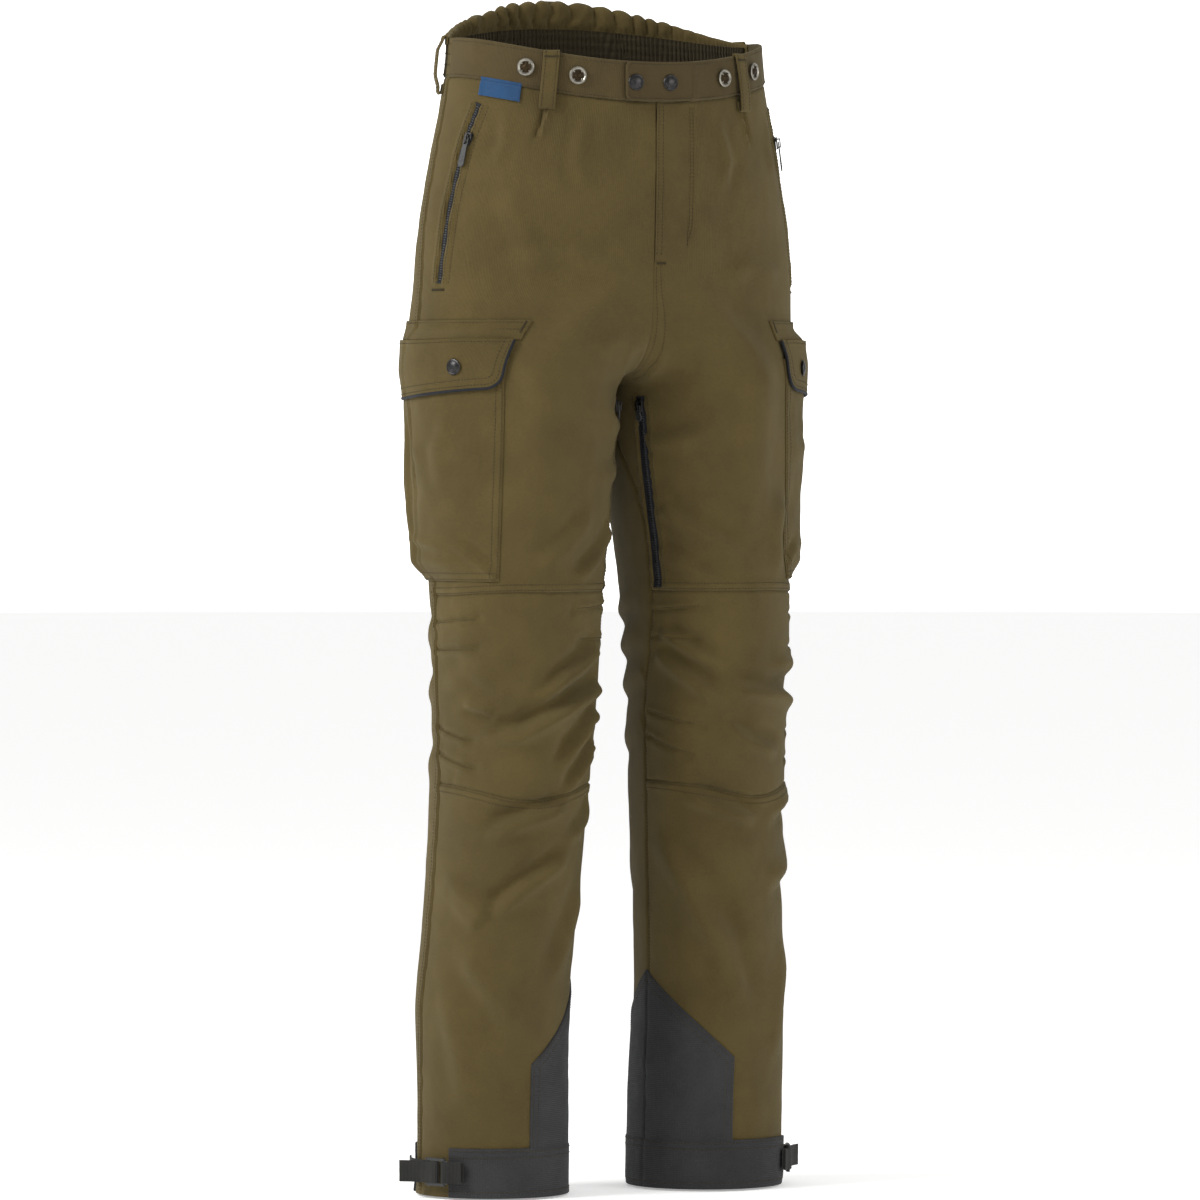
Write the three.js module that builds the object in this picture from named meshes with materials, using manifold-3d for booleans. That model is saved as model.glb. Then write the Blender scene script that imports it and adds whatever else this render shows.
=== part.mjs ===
// Forestry trousers with saw-protection pads: a sewn shell of panels, waistbands, cargo pockets with
// snap flaps, zips with sliders and pulls, belt loops, brace buttons and hem straps with ladder locks.
// Millimetres, +Z up. -Y is the front, -X the wearer's right. Heights are measured from the hems while
// modelling; the finished group is lowered so that the origin is the middle of the waist opening.
import * as THREE from "three";
import { mergeVertices } from "three/addons/utils/BufferGeometryUtils.js";
import Module from "manifold-3d";

const wasm = await Module();
wasm.setup();

// ---------------------------------------------------------------- driving dimensions
const GAP = 0.3; // air between pieces that touch
const CLOTH = 2.0; // outer fabric with its lining
const WAIST_FRONT_Z = 1050; // top of the waistband above the hems
const WAIST_SIDE_Z = 1074;
const WAIST_BACK_Z = 1115;
const BAND_HEIGHT = 37; // front waistband
const BACK_BAND_EXTRA = 23; // gathered header that stands above the elastic at the back
const CROTCH_Z = 750;
const CROTCH_RISE = 110; // height over which the two legs grow into one pelvis
const KNEE_TOP_Z = 561;
const KNEE_LOW_Z = 384;
const HEM_BAND_Z = 46;
const SIDE_SEAM = 92; // degrees round the leg from the front, towards the outside
const PAD_THICK = 6;

// Cross-sections: height, outer half width, inner edge, front and back of one side.
const SECTIONS = [
  [0, 181, 40, -58, 86],
  [80, 181, 40, -60, 84],
  [165, 182, 41, -66, 80],
  [250, 177, 37, -74, 76],
  [330, 175, 31, -82, 72],
  [415, 174, 26, -90, 70],
  [498, 176, 22, -96, 72],
  [600, 177, 15, -98, 80],
  [650, 179, 9, -99, 88],
  [700, 182, 3, -101, 98],
  [CROTCH_Z, 185, 0, -103, 118],
  [800, 187, 0, -104, 134],
  [850, 186, 0, -106, 138],
  [900, 182, 0, -108, 134],
  [960, 172, 0, -110, 122],
  [1020, 160, 0, -110, 114],
  [1060, 154, 0, -110, 112],
  [1120, 152, 0, -110, 114],
];

const radians = THREE.MathUtils.degToRad;
const mix = THREE.MathUtils.lerp;
const smooth = THREE.MathUtils.smoothstep;

// Piecewise cubic through the sections, with slopes limited so that it doesn't overshoot.
function sectionValue(column, z) {
  const last = SECTIONS.length - 1;
  let i = 0;
  while (i < last - 1 && z > SECTIONS[i + 1][0]) i++;
  const secant = (k) => (SECTIONS[k + 1][column] - SECTIONS[k][column]) / (SECTIONS[k + 1][0] - SECTIONS[k][0]);
  const slope = (k) => {
    if (k === 0 || k === last) return secant(Math.min(k, last - 1));
    const [a, b] = [secant(k - 1), secant(k)];
    return a * b <= 0 ? 0 : (2 * a * b) / (a + b);
  };
  const span = SECTIONS[i + 1][0] - SECTIONS[i][0];
  const t = THREE.MathUtils.clamp((z - SECTIONS[i][0]) / span, 0, 1);
  const [p, q] = [SECTIONS[i][column], SECTIONS[i + 1][column]];
  const [m, n] = [slope(i) * span, slope(i + 1) * span];
  return p * (2 * t ** 3 - 3 * t ** 2 + 1) + m * (t ** 3 - 2 * t ** 2 + t) + q * (3 * t ** 2 - 2 * t ** 3) + n * (t ** 3 - t ** 2);
}

// Angle of the crotch seam before the front: 90 where the legs part, 0 where the pelvis is one oval.
function seamAngle(z) {
  if (z <= CROTCH_Z) return 90;
  return 90 * Math.max(0, 1 - (z - CROTCH_Z) / CROTCH_RISE) ** 2.2;
}

// Inner edge of the front panel: the centre front above the crotch, the inseam below it.
function innerEdge(z) {
  if (z > CROTCH_Z) return -seamAngle(z);
  if (z > 620) return -mix(66, 90, smooth(z, 620, CROTCH_Z));
  return -mix(78, 66, smooth(z, 440, 560));
}

// The far edge of the back panel, which meets innerEdge() from the other side.
function backEdge(z) {
  return z > CROTCH_Z ? 180 + seamAngle(z) : 360 + innerEdge(z);
}

// A point of the outer skin on the wearer's right: 0 degrees is the front, 90 the outside.
function skinPoint(angle, z) {
  const sine = Math.sin(radians(seamAngle(z)));
  const outer = sectionValue(1, z);
  const inner = z > CROTCH_Z ? 0 : sectionValue(2, z);
  const radius = z > CROTCH_Z ? outer / (1 + sine) : (outer - inner) / 2;
  const centre = outer - radius;
  const [front, back] = [sectionValue(3, z), sectionValue(4, z)];
  const middle = z > CROTCH_Z ? mix((front + back) / 2, 0, smooth(z, CROTCH_Z, 860)) : (front + back) / 2;
  const turn = radians(angle);
  const depth = Math.cos(turn) > 0 ? middle - front : back - middle;
  return new THREE.Vector3(-0.4 - centre - radius * Math.sin(turn), middle - depth * Math.cos(turn), z);
}

function skinNormal(angle, z) {
  const step = 0.5;
  const round = skinPoint(angle + step, z).sub(skinPoint(angle - step, z));
  const up = skinPoint(angle, z + step).sub(skinPoint(angle, z - step));
  return up.cross(round).normalize();
}

function skin(angle, z, out = 0) {
  return skinPoint(angle, z).addScaledVector(skinNormal(angle, z), out);
}

// The same, but shifted level. Walls built this way keep their thickness where the crotch folds the skin.
function skinLevel(angle, z, out = 0) {
  const round = skinPoint(angle + 0.5, z).sub(skinPoint(angle - 0.5, z));
  return skinPoint(angle, z).addScaledVector(new THREE.Vector3(0, 0, 1).cross(round).normalize(), out);
}

function waistTop(angle) {
  const a = Math.min(Math.abs(angle), 360 - Math.abs(angle));
  if (a < 90) return mix(WAIST_FRONT_Z, WAIST_SIDE_Z, Math.sin(radians(a)) ** 2);
  return mix(WAIST_SIDE_Z, WAIST_BACK_Z, Math.cos(radians(a)) ** 2);
}

function waistSeam(angle) {
  const a = Math.min(Math.abs(angle), 360 - Math.abs(angle));
  return waistTop(angle) - BAND_HEIGHT - (a > 90 ? BACK_BAND_EXTRA * Math.cos(radians(a)) ** 2 : 0);
}

// ---------------------------------------------------------------- solids
// A closed shell between two surfaces that are both functions of (u, v) in 0..1.
function solidBetween(outside, inside, nu, nv) {
  const positions = [];
  const index = [];
  const row = nu + 1;
  const layer = row * (nv + 1);
  for (const surface of [outside, inside])
    for (let j = 0; j <= nv; j++)
      for (let i = 0; i <= nu; i++) positions.push(...surface(i / nu, j / nv).toArray());
  const quad = (a, b, c, d) => index.push(a, b, c, a, c, d);
  const at = (i, j) => j * row + i;
  for (let j = 0; j < nv; j++)
    for (let i = 0; i < nu; i++) {
      const corners = [at(i, j), at(i + 1, j), at(i + 1, j + 1), at(i, j + 1)];
      quad(...corners.toReversed());
      quad(...corners.map((k) => k + layer));
    }
  const wall = (a, b) => quad(a, b, b + layer, a + layer);
  for (let i = 0; i < nu; i++) {
    wall(at(i, 0), at(i + 1, 0));
    wall(at(i + 1, nv), at(i, nv));
  }
  for (let j = 0; j < nv; j++) {
    wall(at(nu, j), at(nu, j + 1));
    wall(at(0, j + 1), at(0, j));
  }
  const geometry = new THREE.BufferGeometry();
  geometry.setAttribute("position", new THREE.Float32BufferAttribute(positions, 3));
  geometry.setIndex(index);
  return geometry;
}

// A piece of the skin: from(z) to to(z) degrees, low(angle) to high(angle) mm, between two offsets.
function panel({ from, to, low, high, out = 0, thick = CLOTH, nu, nv, place = skin, rows = (v) => v }) {
  const value = (edge, x) => (typeof edge === "function" ? edge(x) : edge);
  const surface = (offset) => (u, v) => {
    const rough = mix(value(from, value(low, 0) + 10), value(to, value(low, 0) + 10), u);
    const z = mix(value(low, rough), value(high, mix(value(from, 1000), value(to, 1000), u)), rows(v));
    const shift = typeof offset === "function" ? offset(u, v) : offset;
    return place(mix(value(from, z), value(to, z), u), z, shift);
  };
  const inner = typeof out === "function" ? (u, v) => out(u, v) - thick : out - thick;
  return solidBetween(surface(out), surface(inner), nu, nv);
}

function mirrored(geometry) {
  const copy = geometry.clone();
  copy.scale(-1, 1, 1);
  const index = copy.index ? [...copy.index.array] : [...Array(copy.attributes.position.count).keys()];
  for (let i = 0; i < index.length; i += 3) [index[i + 1], index[i + 2]] = [index[i + 2], index[i + 1]];
  copy.setIndex(index);
  return copy;
}

function toSolid(geometry) {
  const plain = new THREE.BufferGeometry();
  plain.setAttribute("position", geometry.getAttribute("position").clone());
  if (geometry.index) plain.setIndex(geometry.index);
  const merged = mergeVertices(plain, 1e-3);
  const made = new wasm.Manifold(
    new wasm.Mesh({
      numProp: 3,
      vertProperties: merged.attributes.position.array,
      triVerts: new Uint32Array(merged.index.array),
    }),
  );
  return made;
}

function toGeometry(solid) {
  const mesh = solid.getMesh();
  const positions = new Float32Array(mesh.numVert * 3);
  for (let i = 0; i < mesh.numVert; i++)
    positions.set(mesh.vertProperties.subarray(i * mesh.numProp, i * mesh.numProp + 3), i * 3);
  const geometry = new THREE.BufferGeometry();
  geometry.setAttribute("position", new THREE.BufferAttribute(positions, 3));
  geometry.setIndex(new THREE.BufferAttribute(mesh.triVerts, 1));
  return geometry;
}

const cut = (geometry, ...tools) =>
  toGeometry(tools.reduce((solid, tool) => solid.subtract(toSolid(tool)), toSolid(geometry)));
const join = (first, ...others) =>
  toGeometry(others.reduce((solid, part) => solid.add(toSolid(part)), toSolid(first)));

function box(x0, x1, y0, y1, z0, z1) {
  const geometry = new THREE.BoxGeometry(x1 - x0, y1 - y0, z1 - z0);
  geometry.translate((x0 + x1) / 2, (y0 + y1) / 2, (z0 + z1) / 2);
  return geometry;
}

// A frame on a surface: local X across, local Y along, local Z outwards.
function frameAt(origin, along, outward) {
  const y = along.clone().normalize();
  const x = new THREE.Vector3().crossVectors(y, outward).normalize();
  const z = new THREE.Vector3().crossVectors(x, y);
  return new THREE.Matrix4().makeBasis(x, y, z).setPosition(origin);
}

const placed = (geometry, matrix) => geometry.clone().applyMatrix4(matrix);

// ---------------------------------------------------------------- the model
const trousers = new THREE.Group();
const finish = {
  shell: { color: 0x5e5030, roughness: 0.9, metalness: 0 },
  lining: { color: 0x4a4026, roughness: 0.85, metalness: 0 },
  reinforcement: { color: 0x333436, roughness: 0.8, metalness: 0 },
  elastic: { color: 0x3c3218, roughness: 0.95, metalness: 0 },
  pad: { color: 0xd8d4c4, roughness: 1, metalness: 0 },
  zip: { color: 0x1c1d22, roughness: 0.5, metalness: 0 },
  gunmetal: { color: 0x4b4d55, roughness: 0.35, metalness: 0.9 },
  nickel: { color: 0xb9b6ad, roughness: 0.3, metalness: 1 },
  plastic: { color: 0x2c2d2a, roughness: 0.5, metalness: 0 },
  webbing: { color: 0x262724, roughness: 0.9, metalness: 0 },
};

function add(name, look, geometry, matrix) {
  const mesh = new THREE.Mesh(geometry, new THREE.MeshStandardMaterial(finish[look]));
  mesh.name = name;
  if (matrix) mesh.applyMatrix4(matrix);
  trousers.add(mesh);
}

function addPair(name, look, right) {
  add(name + "_right", look, right);
  add(name + "_left", look, mirrored(right));
}

// -------- leg panels
const edge = 0.6; // degrees taken off each vertical edge, so that sewn panels stay apart
const frontFrom = (z) => innerEdge(z) + (z > CROTCH_Z ? 0 : edge);
const frontTo = SIDE_SEAM - edge;
const frontPanel = panel({
  from: frontFrom, to: frontTo, low: KNEE_TOP_Z + GAP, high: (a) => waistSeam(a) - GAP, nu: 11, nv: 14,
});
const kneePanel = panel({ from: frontFrom, to: frontTo, low: KNEE_LOW_Z + GAP, high: KNEE_TOP_Z, nu: 10, nv: 5 });
const shinPanel = panel({ from: frontFrom, to: frontTo, low: 0, high: KNEE_LOW_Z, nu: 10, nv: 9 });
// The back panel's rows are closer together round the crotch, where its inner edge turns.
const BACK_ROWS = { half: 0.66, crotch: 0.82, crotchRow: 0.84 }; // shares of the height at rows 0.5 and 0.84
const backRows = (v) => {
  if (v < 0.5) return v * 2 * BACK_ROWS.half;
  if (v < BACK_ROWS.crotchRow)
    return mix(BACK_ROWS.half, BACK_ROWS.crotch, (v - 0.5) / (BACK_ROWS.crotchRow - 0.5));
  return mix(BACK_ROWS.crotch, 1, (v - BACK_ROWS.crotchRow) / (1 - BACK_ROWS.crotchRow));
};
const backPanel = panel({
  from: SIDE_SEAM + edge, to: (z) => backEdge(z) - (z > CROTCH_Z ? 0 : edge), low: 0,
  high: (a) => waistSeam(a) - 4 * GAP, nu: 12, nv: 25, place: skinLevel, rows: backRows,
});

// -------- zips: a straight tape, a slider on it and a pull in the slider's bail
const ZIP = { width: 13, tape: 1.6, sliderWidth: 9, sliderLength: 12, sliderThick: 2.6 };

function zipTape(length) {
  const half = ZIP.width / 2;
  const outline = [[-half, 0], [half, 0], [half, 1], [3, 1], [2.2, ZIP.tape], [-2.2, ZIP.tape], [-3, 1], [-half, 1]];
  const shape = new THREE.Shape(outline.map(([x, y]) => new THREE.Vector2(x, y)));
  const tape = new THREE.ExtrudeGeometry(shape, { depth: length, bevelEnabled: false });
  tape.rotateX(Math.PI / 2); // the extrusion runs down the tape, from its top at the local origin
  return tape;
}

const AXIS_HEIGHT = ZIP.sliderThick + 1.1; // the pull's crossbar above the slider's underside

function zipSlider() {
  const [w, l, t] = [ZIP.sliderWidth / 2, ZIP.sliderLength / 2, ZIP.sliderThick];
  const outline = [[-w * 0.7, -l], [w * 0.7, -l], [w, l * 0.5], [w * 0.8, l], [-w * 0.8, l], [-w, l * 0.5]];
  const shape = new THREE.Shape(outline.map(([x, y]) => new THREE.Vector2(x, y)));
  const body = new THREE.ExtrudeGeometry(shape, { depth: t, bevelEnabled: false });
  const bridge = box(-0.9, 0.9, -4.2, 4.2, t + 2.2, t + 3.4);
  const legs = [-4.2, 3.2].map((y) => box(-0.9, 0.9, y, y + 1, t - 0.5, t + 2.8));
  return join(body, bridge, ...legs);
}

function zipPull(length) {
  const half = 3.4;
  const shape = new THREE.Shape();
  shape.moveTo(-2.6, 0.7);
  shape.lineTo(-2.6, -6);
  shape.lineTo(-half, -length + half);
  shape.absarc(0, -length + half, half, Math.PI, 2 * Math.PI, false);
  shape.lineTo(2.6, -6);
  shape.lineTo(2.6, 0.7);
  shape.closePath();
  const eye = new THREE.Path();
  eye.moveTo(-1.5, -0.6);
  eye.lineTo(1.5, -0.6);
  eye.lineTo(1.5, -5.6);
  eye.lineTo(-1.5, -5.6);
  eye.closePath();
  shape.holes.push(eye);
  const plate = new THREE.ExtrudeGeometry(shape, { depth: 1.2, bevelEnabled: false, curveSegments: 5 });
  plate.translate(0, 0, -0.6);
  return plate;
}

// top and bottom are the ends of the tape on its underside; rest is how far the slider sits below the top.
function zip(top, bottom, outward, rest, pull) {
  const down = bottom.clone().sub(top);
  const length = down.length();
  const up = down.clone().negate().normalize();
  const start = frameAt(top, up, outward);
  const normal = new THREE.Vector3().setFromMatrixColumn(start, 2);
  const seat = top.clone().addScaledVector(up, -rest).addScaledVector(normal, ZIP.tape + GAP);
  const slider = frameAt(seat, up, normal);
  const pivot = seat.clone().addScaledVector(normal, AXIS_HEIGHT);
  return {
    length, up, normal, pivot, start,
    tape: placed(zipTape(length), start),
    slider: placed(zipSlider(), slider),
    pull: placed(zipPull(pull), frameAt(pivot, up, normal)),
    slot: placed(box(-ZIP.width / 2 - GAP, ZIP.width / 2 + GAP, -length - GAP, GAP, -14, 14), start),
  };
}

function addZip(name, made) {
  addPair(name + "_zip", "zip", made.tape);
  addPair(name + "_slider", "gunmetal", made.slider);
  addPair(name + "_pull", "plastic", made.pull);
}

// -------- hand pockets: a slanted zip in a slot of the front panel, and a flat bag behind it
const POCKET = { top: [67, 1014, -0.4], bottom: [77, 846, -0.4], facing: [72, 932], rest: 36, pull: 27 };
const pocketZip = zip(skin(...POCKET.top), skin(...POCKET.bottom), skinNormal(...POCKET.facing), POCKET.rest, POCKET.pull);
const pocketBag = panel({ from: 20, to: 86, low: 826, high: 1004, out: -9.5, thick: 2.4, nu: 7, nv: 6 });

// -------- thigh vents: a zip laid over the inseam
const VENT = { angle: -59.5, high: 742, low: 566, middle: 655, sink: -1.8, rest: 9, pull: 14 };
const ventTop = skin(VENT.angle, VENT.high, VENT.sink);
const ventBottom = skin(VENT.angle, VENT.low, VENT.sink);
const ventZip = zip(ventTop, ventBottom, skinNormal(VENT.angle, VENT.middle), VENT.rest, VENT.pull);

// -------- fly: the left front's placket and waist tab swing open over the zip and the shield
const FLY = { width: 34, low: 866, tabEnd: -38, top: [13, -99, 1005], bottom: [13, -95.2, 872], rest: 9, pull: 15 };
const TAB_OUT = 4.2; // the waist tab's face stands off the bands
const flyWindow = box(-3, FLY.width + GAP, -200, -40, FLY.low - GAP, 1100);
const frontPanelLeft = cut(mirrored(frontPanel), flyWindow, mirrored(pocketZip.slot), mirrored(ventZip.slot));
const pelvis = (x0, x1, low, high, out, thick, nu, nv) => {
  const angleAt = (x) => (z) => -THREE.MathUtils.radToDeg(Math.asin(x / sectionValue(1, z)));
  return panel({ from: angleAt(x1), to: angleAt(x0), low, high, out, thick, nu, nv });
};
const placket = pelvis(0.4, FLY.width - 0.1, FLY.low + GAP, (a) => waistSeam(a) - GAP, 0, 1.8, 4, 6);
const waistTab = pelvis(FLY.tabEnd, FLY.width - 0.1, (a) => waistSeam(a) + GAP, waistTop, TAB_OUT, 2, 8, 2);
const flyShield = pelvis(-7, 28, FLY.low + 4, 1008, -13.5, 1.5, 4, 4);
const flyTop = new THREE.Vector3(...FLY.top);
const flyBottom = new THREE.Vector3(...FLY.bottom);
const flyZip = zip(flyTop, flyBottom, new THREE.Vector3(0, -1, 0), FLY.rest, FLY.pull);

// -------- waistbands
const band = (from, to, thick, nu) => panel({ from, to, low: waistSeam, high: waistTop, thick, nu, nv: 2 });
const bandRight = band(-6.5, SIDE_SEAM - edge, 2.6, 14);
const bandLeft = band(-SIDE_SEAM + edge, -13, 2.6, 12);
const bandBack = band(SIDE_SEAM + edge, 360 - SIDE_SEAM - edge, 3, 20);
const elastic = panel({
  from: 106, to: 254, low: (a) => waistSeam(a) + 3, high: (a) => waistSeam(a) + 33, out: -4.4, thick: 1.4, nu: 16, nv: 1,
});

// -------- saw-protection pads inside the front of each leg
const pad = panel({ from: -52, to: 82, low: 60, high: 735, out: -CLOTH - 2.2, thick: PAD_THICK, nu: 8, nv: 14 });

// -------- cargo pockets: a bellows pouch on the outside of the thigh, roofed by the flap's sewn edge
const CARGO = { from: 28, to: 124, low: 569, mouth: 777, roof: 812, hinge: 795, depth: 16, wall: 2, cover: 3.6 };
function thighBlock(from, to, low, high, near, far, nv) {
  return panel({ from, to, low, high, out: far, thick: far - near, nu: 9, nv });
}
const roofSlope = (u, v) => mix(CARGO.depth + CARGO.cover, 4, v);
const cargoBody = thighBlock(CARGO.from, CARGO.to, CARGO.low, CARGO.mouth, 1.8, CARGO.depth, 5);
const cargoHollow = thighBlock(
  CARGO.from + 1.5, CARGO.to - 1.5, CARGO.low + CARGO.wall, CARGO.mouth + 20, -3, CARGO.depth - CARGO.wall, 5,
);
const cargoRoof = panel({
  from: CARGO.from, to: CARGO.to, low: CARGO.hinge + 0.8, high: CARGO.roof, out: roofSlope, thick: CARGO.wall, nu: 9, nv: 2,
});
const cheekOut = (u, v) => mix(CARGO.depth - 2.9, CARGO.depth - 5.4, v);
const cargoCheek = (from) =>
  panel({ from, to: from + 1.4, low: CARGO.mouth - 4, high: CARGO.hinge + 9, out: cheekOut, thick: 9, nu: 1, nv: 2 });
const cargoPocket = join(cut(cargoBody, cargoHollow), cargoCheek(CARGO.from), cargoCheek(CARGO.to - 1.4), cargoRoof);
const flapFrom = (z) => CARGO.from - 2.5 + 7 * smooth(CARGO.hinge - z, 10, 50);
const cargoFlap = panel({
  from: flapFrom, to: CARGO.to + 2.5, low: 747, high: CARGO.hinge - GAP,
  out: CARGO.depth + CARGO.cover, thick: CARGO.wall, nu: 10, nv: 4,
});

// -------- snap caps and brace buttons
function lathe(profile, segments) {
  const points = profile.map(([r, h]) => new THREE.Vector2(r, h));
  const geometry = new THREE.LatheGeometry(points, segments);
  geometry.rotateX(Math.PI / 2); // the lathe's axis becomes local Z, which points outwards
  return geometry;
}
const snapCap = lathe([[0, 0], [6, 0], [6.6, 0.7], [6.2, 1.6], [4, 2.3], [0, 2.6]], 12);
const BUTTON_PROFILE = [
  [0, 0], [2.6, 0], [2.6, 2.4], [7.2, 2.4], [8, 3.1], [7.6, 4], [6.4, 4.2], [5.4, 3.4], [0, 3.4],
];
const braceButton = lathe(BUTTON_PROFILE, 12);
function onSkin(geometry, angle, z, out) {
  const normal = skinNormal(angle, z);
  return placed(geometry, frameAt(skin(angle, z, out), new THREE.Vector3(0, 0, 1), normal));
}
const bandMiddle = (angle) => (waistTop(angle) + waistSeam(angle)) / 2;
const BUTTON_ANGLES = { inner: 28, outer: 47.5 };

// -------- belt loops: a strap tacked above and below, standing off the band for the belt
const LOOP = { width: 14, drop: 14, standoff: 8.5, thick: 2, tack: 5, front: 38, side: 102, back: 180 };
function beltLoop(angle) {
  const top = waistTop(angle) - 1;
  const bottom = waistSeam(angle) - LOOP.drop;
  const up = skin(angle, top).sub(skin(angle, bottom)).normalize();
  const matrix = frameAt(skin(angle, (top + bottom) / 2, 2.2), up, skinNormal(angle, (top + bottom) / 2));
  const [h, w, s, k, t] = [(top - bottom) / 2, LOOP.width / 2, LOOP.standoff, LOOP.tack, LOOP.thick];
  const strap = box(-w, w, -h, h, s, s + t);
  const ends = [box(-w, w, -h, -h + k, 0, s + t), box(-w, w, h - k, h, 0, s + t)];
  return placed(join(strap, ...ends), matrix);
}

// -------- kick patches on the inside of the ankles, and hem bands with a gap on the outside
const KICK = { top: 207, corner: 126, front: 3.5, back: -152 };
function kickPatch() {
  const seam = -78;
  const top = (angle) => {
    const share = angle > seam ? (angle - seam) / (KICK.front - seam) : (seam - angle) / (seam - KICK.back);
    return mix(KICK.top, KICK.corner, THREE.MathUtils.clamp(share, 0, 1));
  };
  return panel({
    from: KICK.back, to: KICK.front, low: HEM_BAND_Z + GAP, high: top, out: 2.8, thick: 1.2, nu: 10, nv: 4,
  });
}
const HEM = { from: 121, to: 418, out: 3, thick: 1.4 };
const hemBand = panel({
  from: HEM.from, to: HEM.to, low: 0, high: HEM_BAND_Z, out: HEM.out, thick: HEM.thick, nu: 20, nv: 1,
});

// -------- hem strap across the gap, and its ladder lock
const STRAP = { width: 20, thick: 1.6, z: 24, from: 83, high: 6.6, low: 2.4 };
const LOCK = { angle: 66, length: 24, width: 26, thick: 3.2, bar: 3.4 };
const lockCentre = skin(LOCK.angle, STRAP.z, 6.4);
const lockOut = skinNormal(LOCK.angle, STRAP.z);
const lockBack = new THREE.Vector3().crossVectors(new THREE.Vector3(0, 0, 1), lockOut).normalize();
if (lockBack.y < 0) lockBack.negate();
const lockFrame = frameAt(lockCentre, lockBack, lockOut); // local Y runs towards the back of the leg
function ladderLock() {
  const [w, l, t, b] = [LOCK.width / 2, LOCK.length / 2, LOCK.thick / 2, LOCK.bar];
  const block = box(-w, w, -l, l, -t, t);
  const slots = [box(-w + 3, w - 3, -l + b, -b / 2, -5, 5), box(-w + 3, w - 3, b / 2, l - b, -5, 5)];
  return placed(cut(block, ...slots), lockFrame);
}
// The strap leaves the back end of the hem band, follows the leg and stops short of the lock.
const strap = panel({
  from: STRAP.from, to: HEM.from - 0.6, low: STRAP.z - STRAP.width / 2, high: STRAP.z + STRAP.width / 2,
  out: (u) => mix(STRAP.high, STRAP.low, smooth(u, 0, 0.5)), thick: STRAP.thick, nu: 6, nv: 1,
});
// Its tail doubles back over the lock's rear bar and stands off the leg.
function strapTail() {
  const w = STRAP.width / 2;
  const path = [[-2, 2.2], [6, 2.4], [16, 4.5], [26, 8], [35, 13]];
  const outer = (u, v) => {
    const k = Math.min(Math.floor(v * 4), 3);
    const t = v * 4 - k;
    const [along, off] = [0, 1].map((axis) => mix(path[k][axis], path[k + 1][axis], t));
    return new THREE.Vector3(mix(-w, w, u), along, off + STRAP.thick);
  };
  const under = (u, v) => outer(u, v).add(new THREE.Vector3(0, 0, -STRAP.thick));
  return placed(solidBetween(under, outer, 1, 8), lockFrame);
}

// -------- assembly
add("front_panel_right", "shell", cut(frontPanel, pocketZip.slot, ventZip.slot));
add("front_panel_left", "shell", frontPanelLeft);
addPair("knee_panel", "shell", kneePanel);
addPair("shin_panel", "shell", shinPanel);
addPair("back_panel", "shell", backPanel);
addPair("kick_patch", "reinforcement", kickPatch());
addPair("hem_band", "reinforcement", hemBand);
add("waistband_right", "shell", bandRight);
add("waistband_left", "shell", bandLeft);
add("waistband_back", "shell", bandBack);
add("waist_elastic", "elastic", elastic);
add("fly_placket", "shell", placket);
add("waist_tab", "shell", waistTab);
add("fly_shield", "lining", flyShield);
add("fly_zip", "zip", flyZip.tape);
add("fly_slider", "gunmetal", flyZip.slider);
addZip("pocket", pocketZip);
addZip("vent", ventZip);
addPair("pocket_bag", "lining", pocketBag);
addPair("protection_pad", "pad", pad);
addPair("cargo_pocket", "shell", cargoPocket);
addPair("cargo_flap", "shell", cargoFlap);
const SNAP = { flapAngle: 58, flapZ: 768, tabZ: 1031, tabEndX: -26, tabInnerX: 12 };
addPair("flap_snap", "gunmetal", onSkin(snapCap, SNAP.flapAngle, SNAP.flapZ, CARGO.depth + CARGO.cover + GAP));
const tabAngle = (x) => -THREE.MathUtils.radToDeg(Math.asin(x / sectionValue(1, SNAP.tabZ)));
add("tab_snap_end", "gunmetal", onSkin(snapCap, tabAngle(SNAP.tabEndX), SNAP.tabZ, TAB_OUT + GAP));
add("tab_snap_inner", "gunmetal", onSkin(snapCap, tabAngle(SNAP.tabInnerX), SNAP.tabZ, TAB_OUT + GAP));
addPair("belt_loop_front", "shell", beltLoop(LOOP.front));
addPair("belt_loop_side", "shell", beltLoop(LOOP.side));
add("belt_loop_back", "shell", beltLoop(LOOP.back));
for (const [place, angle] of Object.entries(BUTTON_ANGLES))
  addPair("brace_button_" + place, "nickel", onSkin(braceButton, angle, bandMiddle(angle), GAP));
addPair("hem_strap", "webbing", strap);
addPair("ladder_lock", "plastic", ladderLock());
addPair("strap_tail", "webbing", strapTail());

trousers.position.z = -WAIST_FRONT_Z;
export default trousers;
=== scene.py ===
"""Forestry work trousers: sewn cloth, zips, snaps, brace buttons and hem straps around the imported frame.

Shapes are worked out in millimetres above the hems, on the wearer's right: 0 degrees is the front of the
leg and 90 its outside. They are mirrored for the left leg and written to the meshes in metres.
"""

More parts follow.
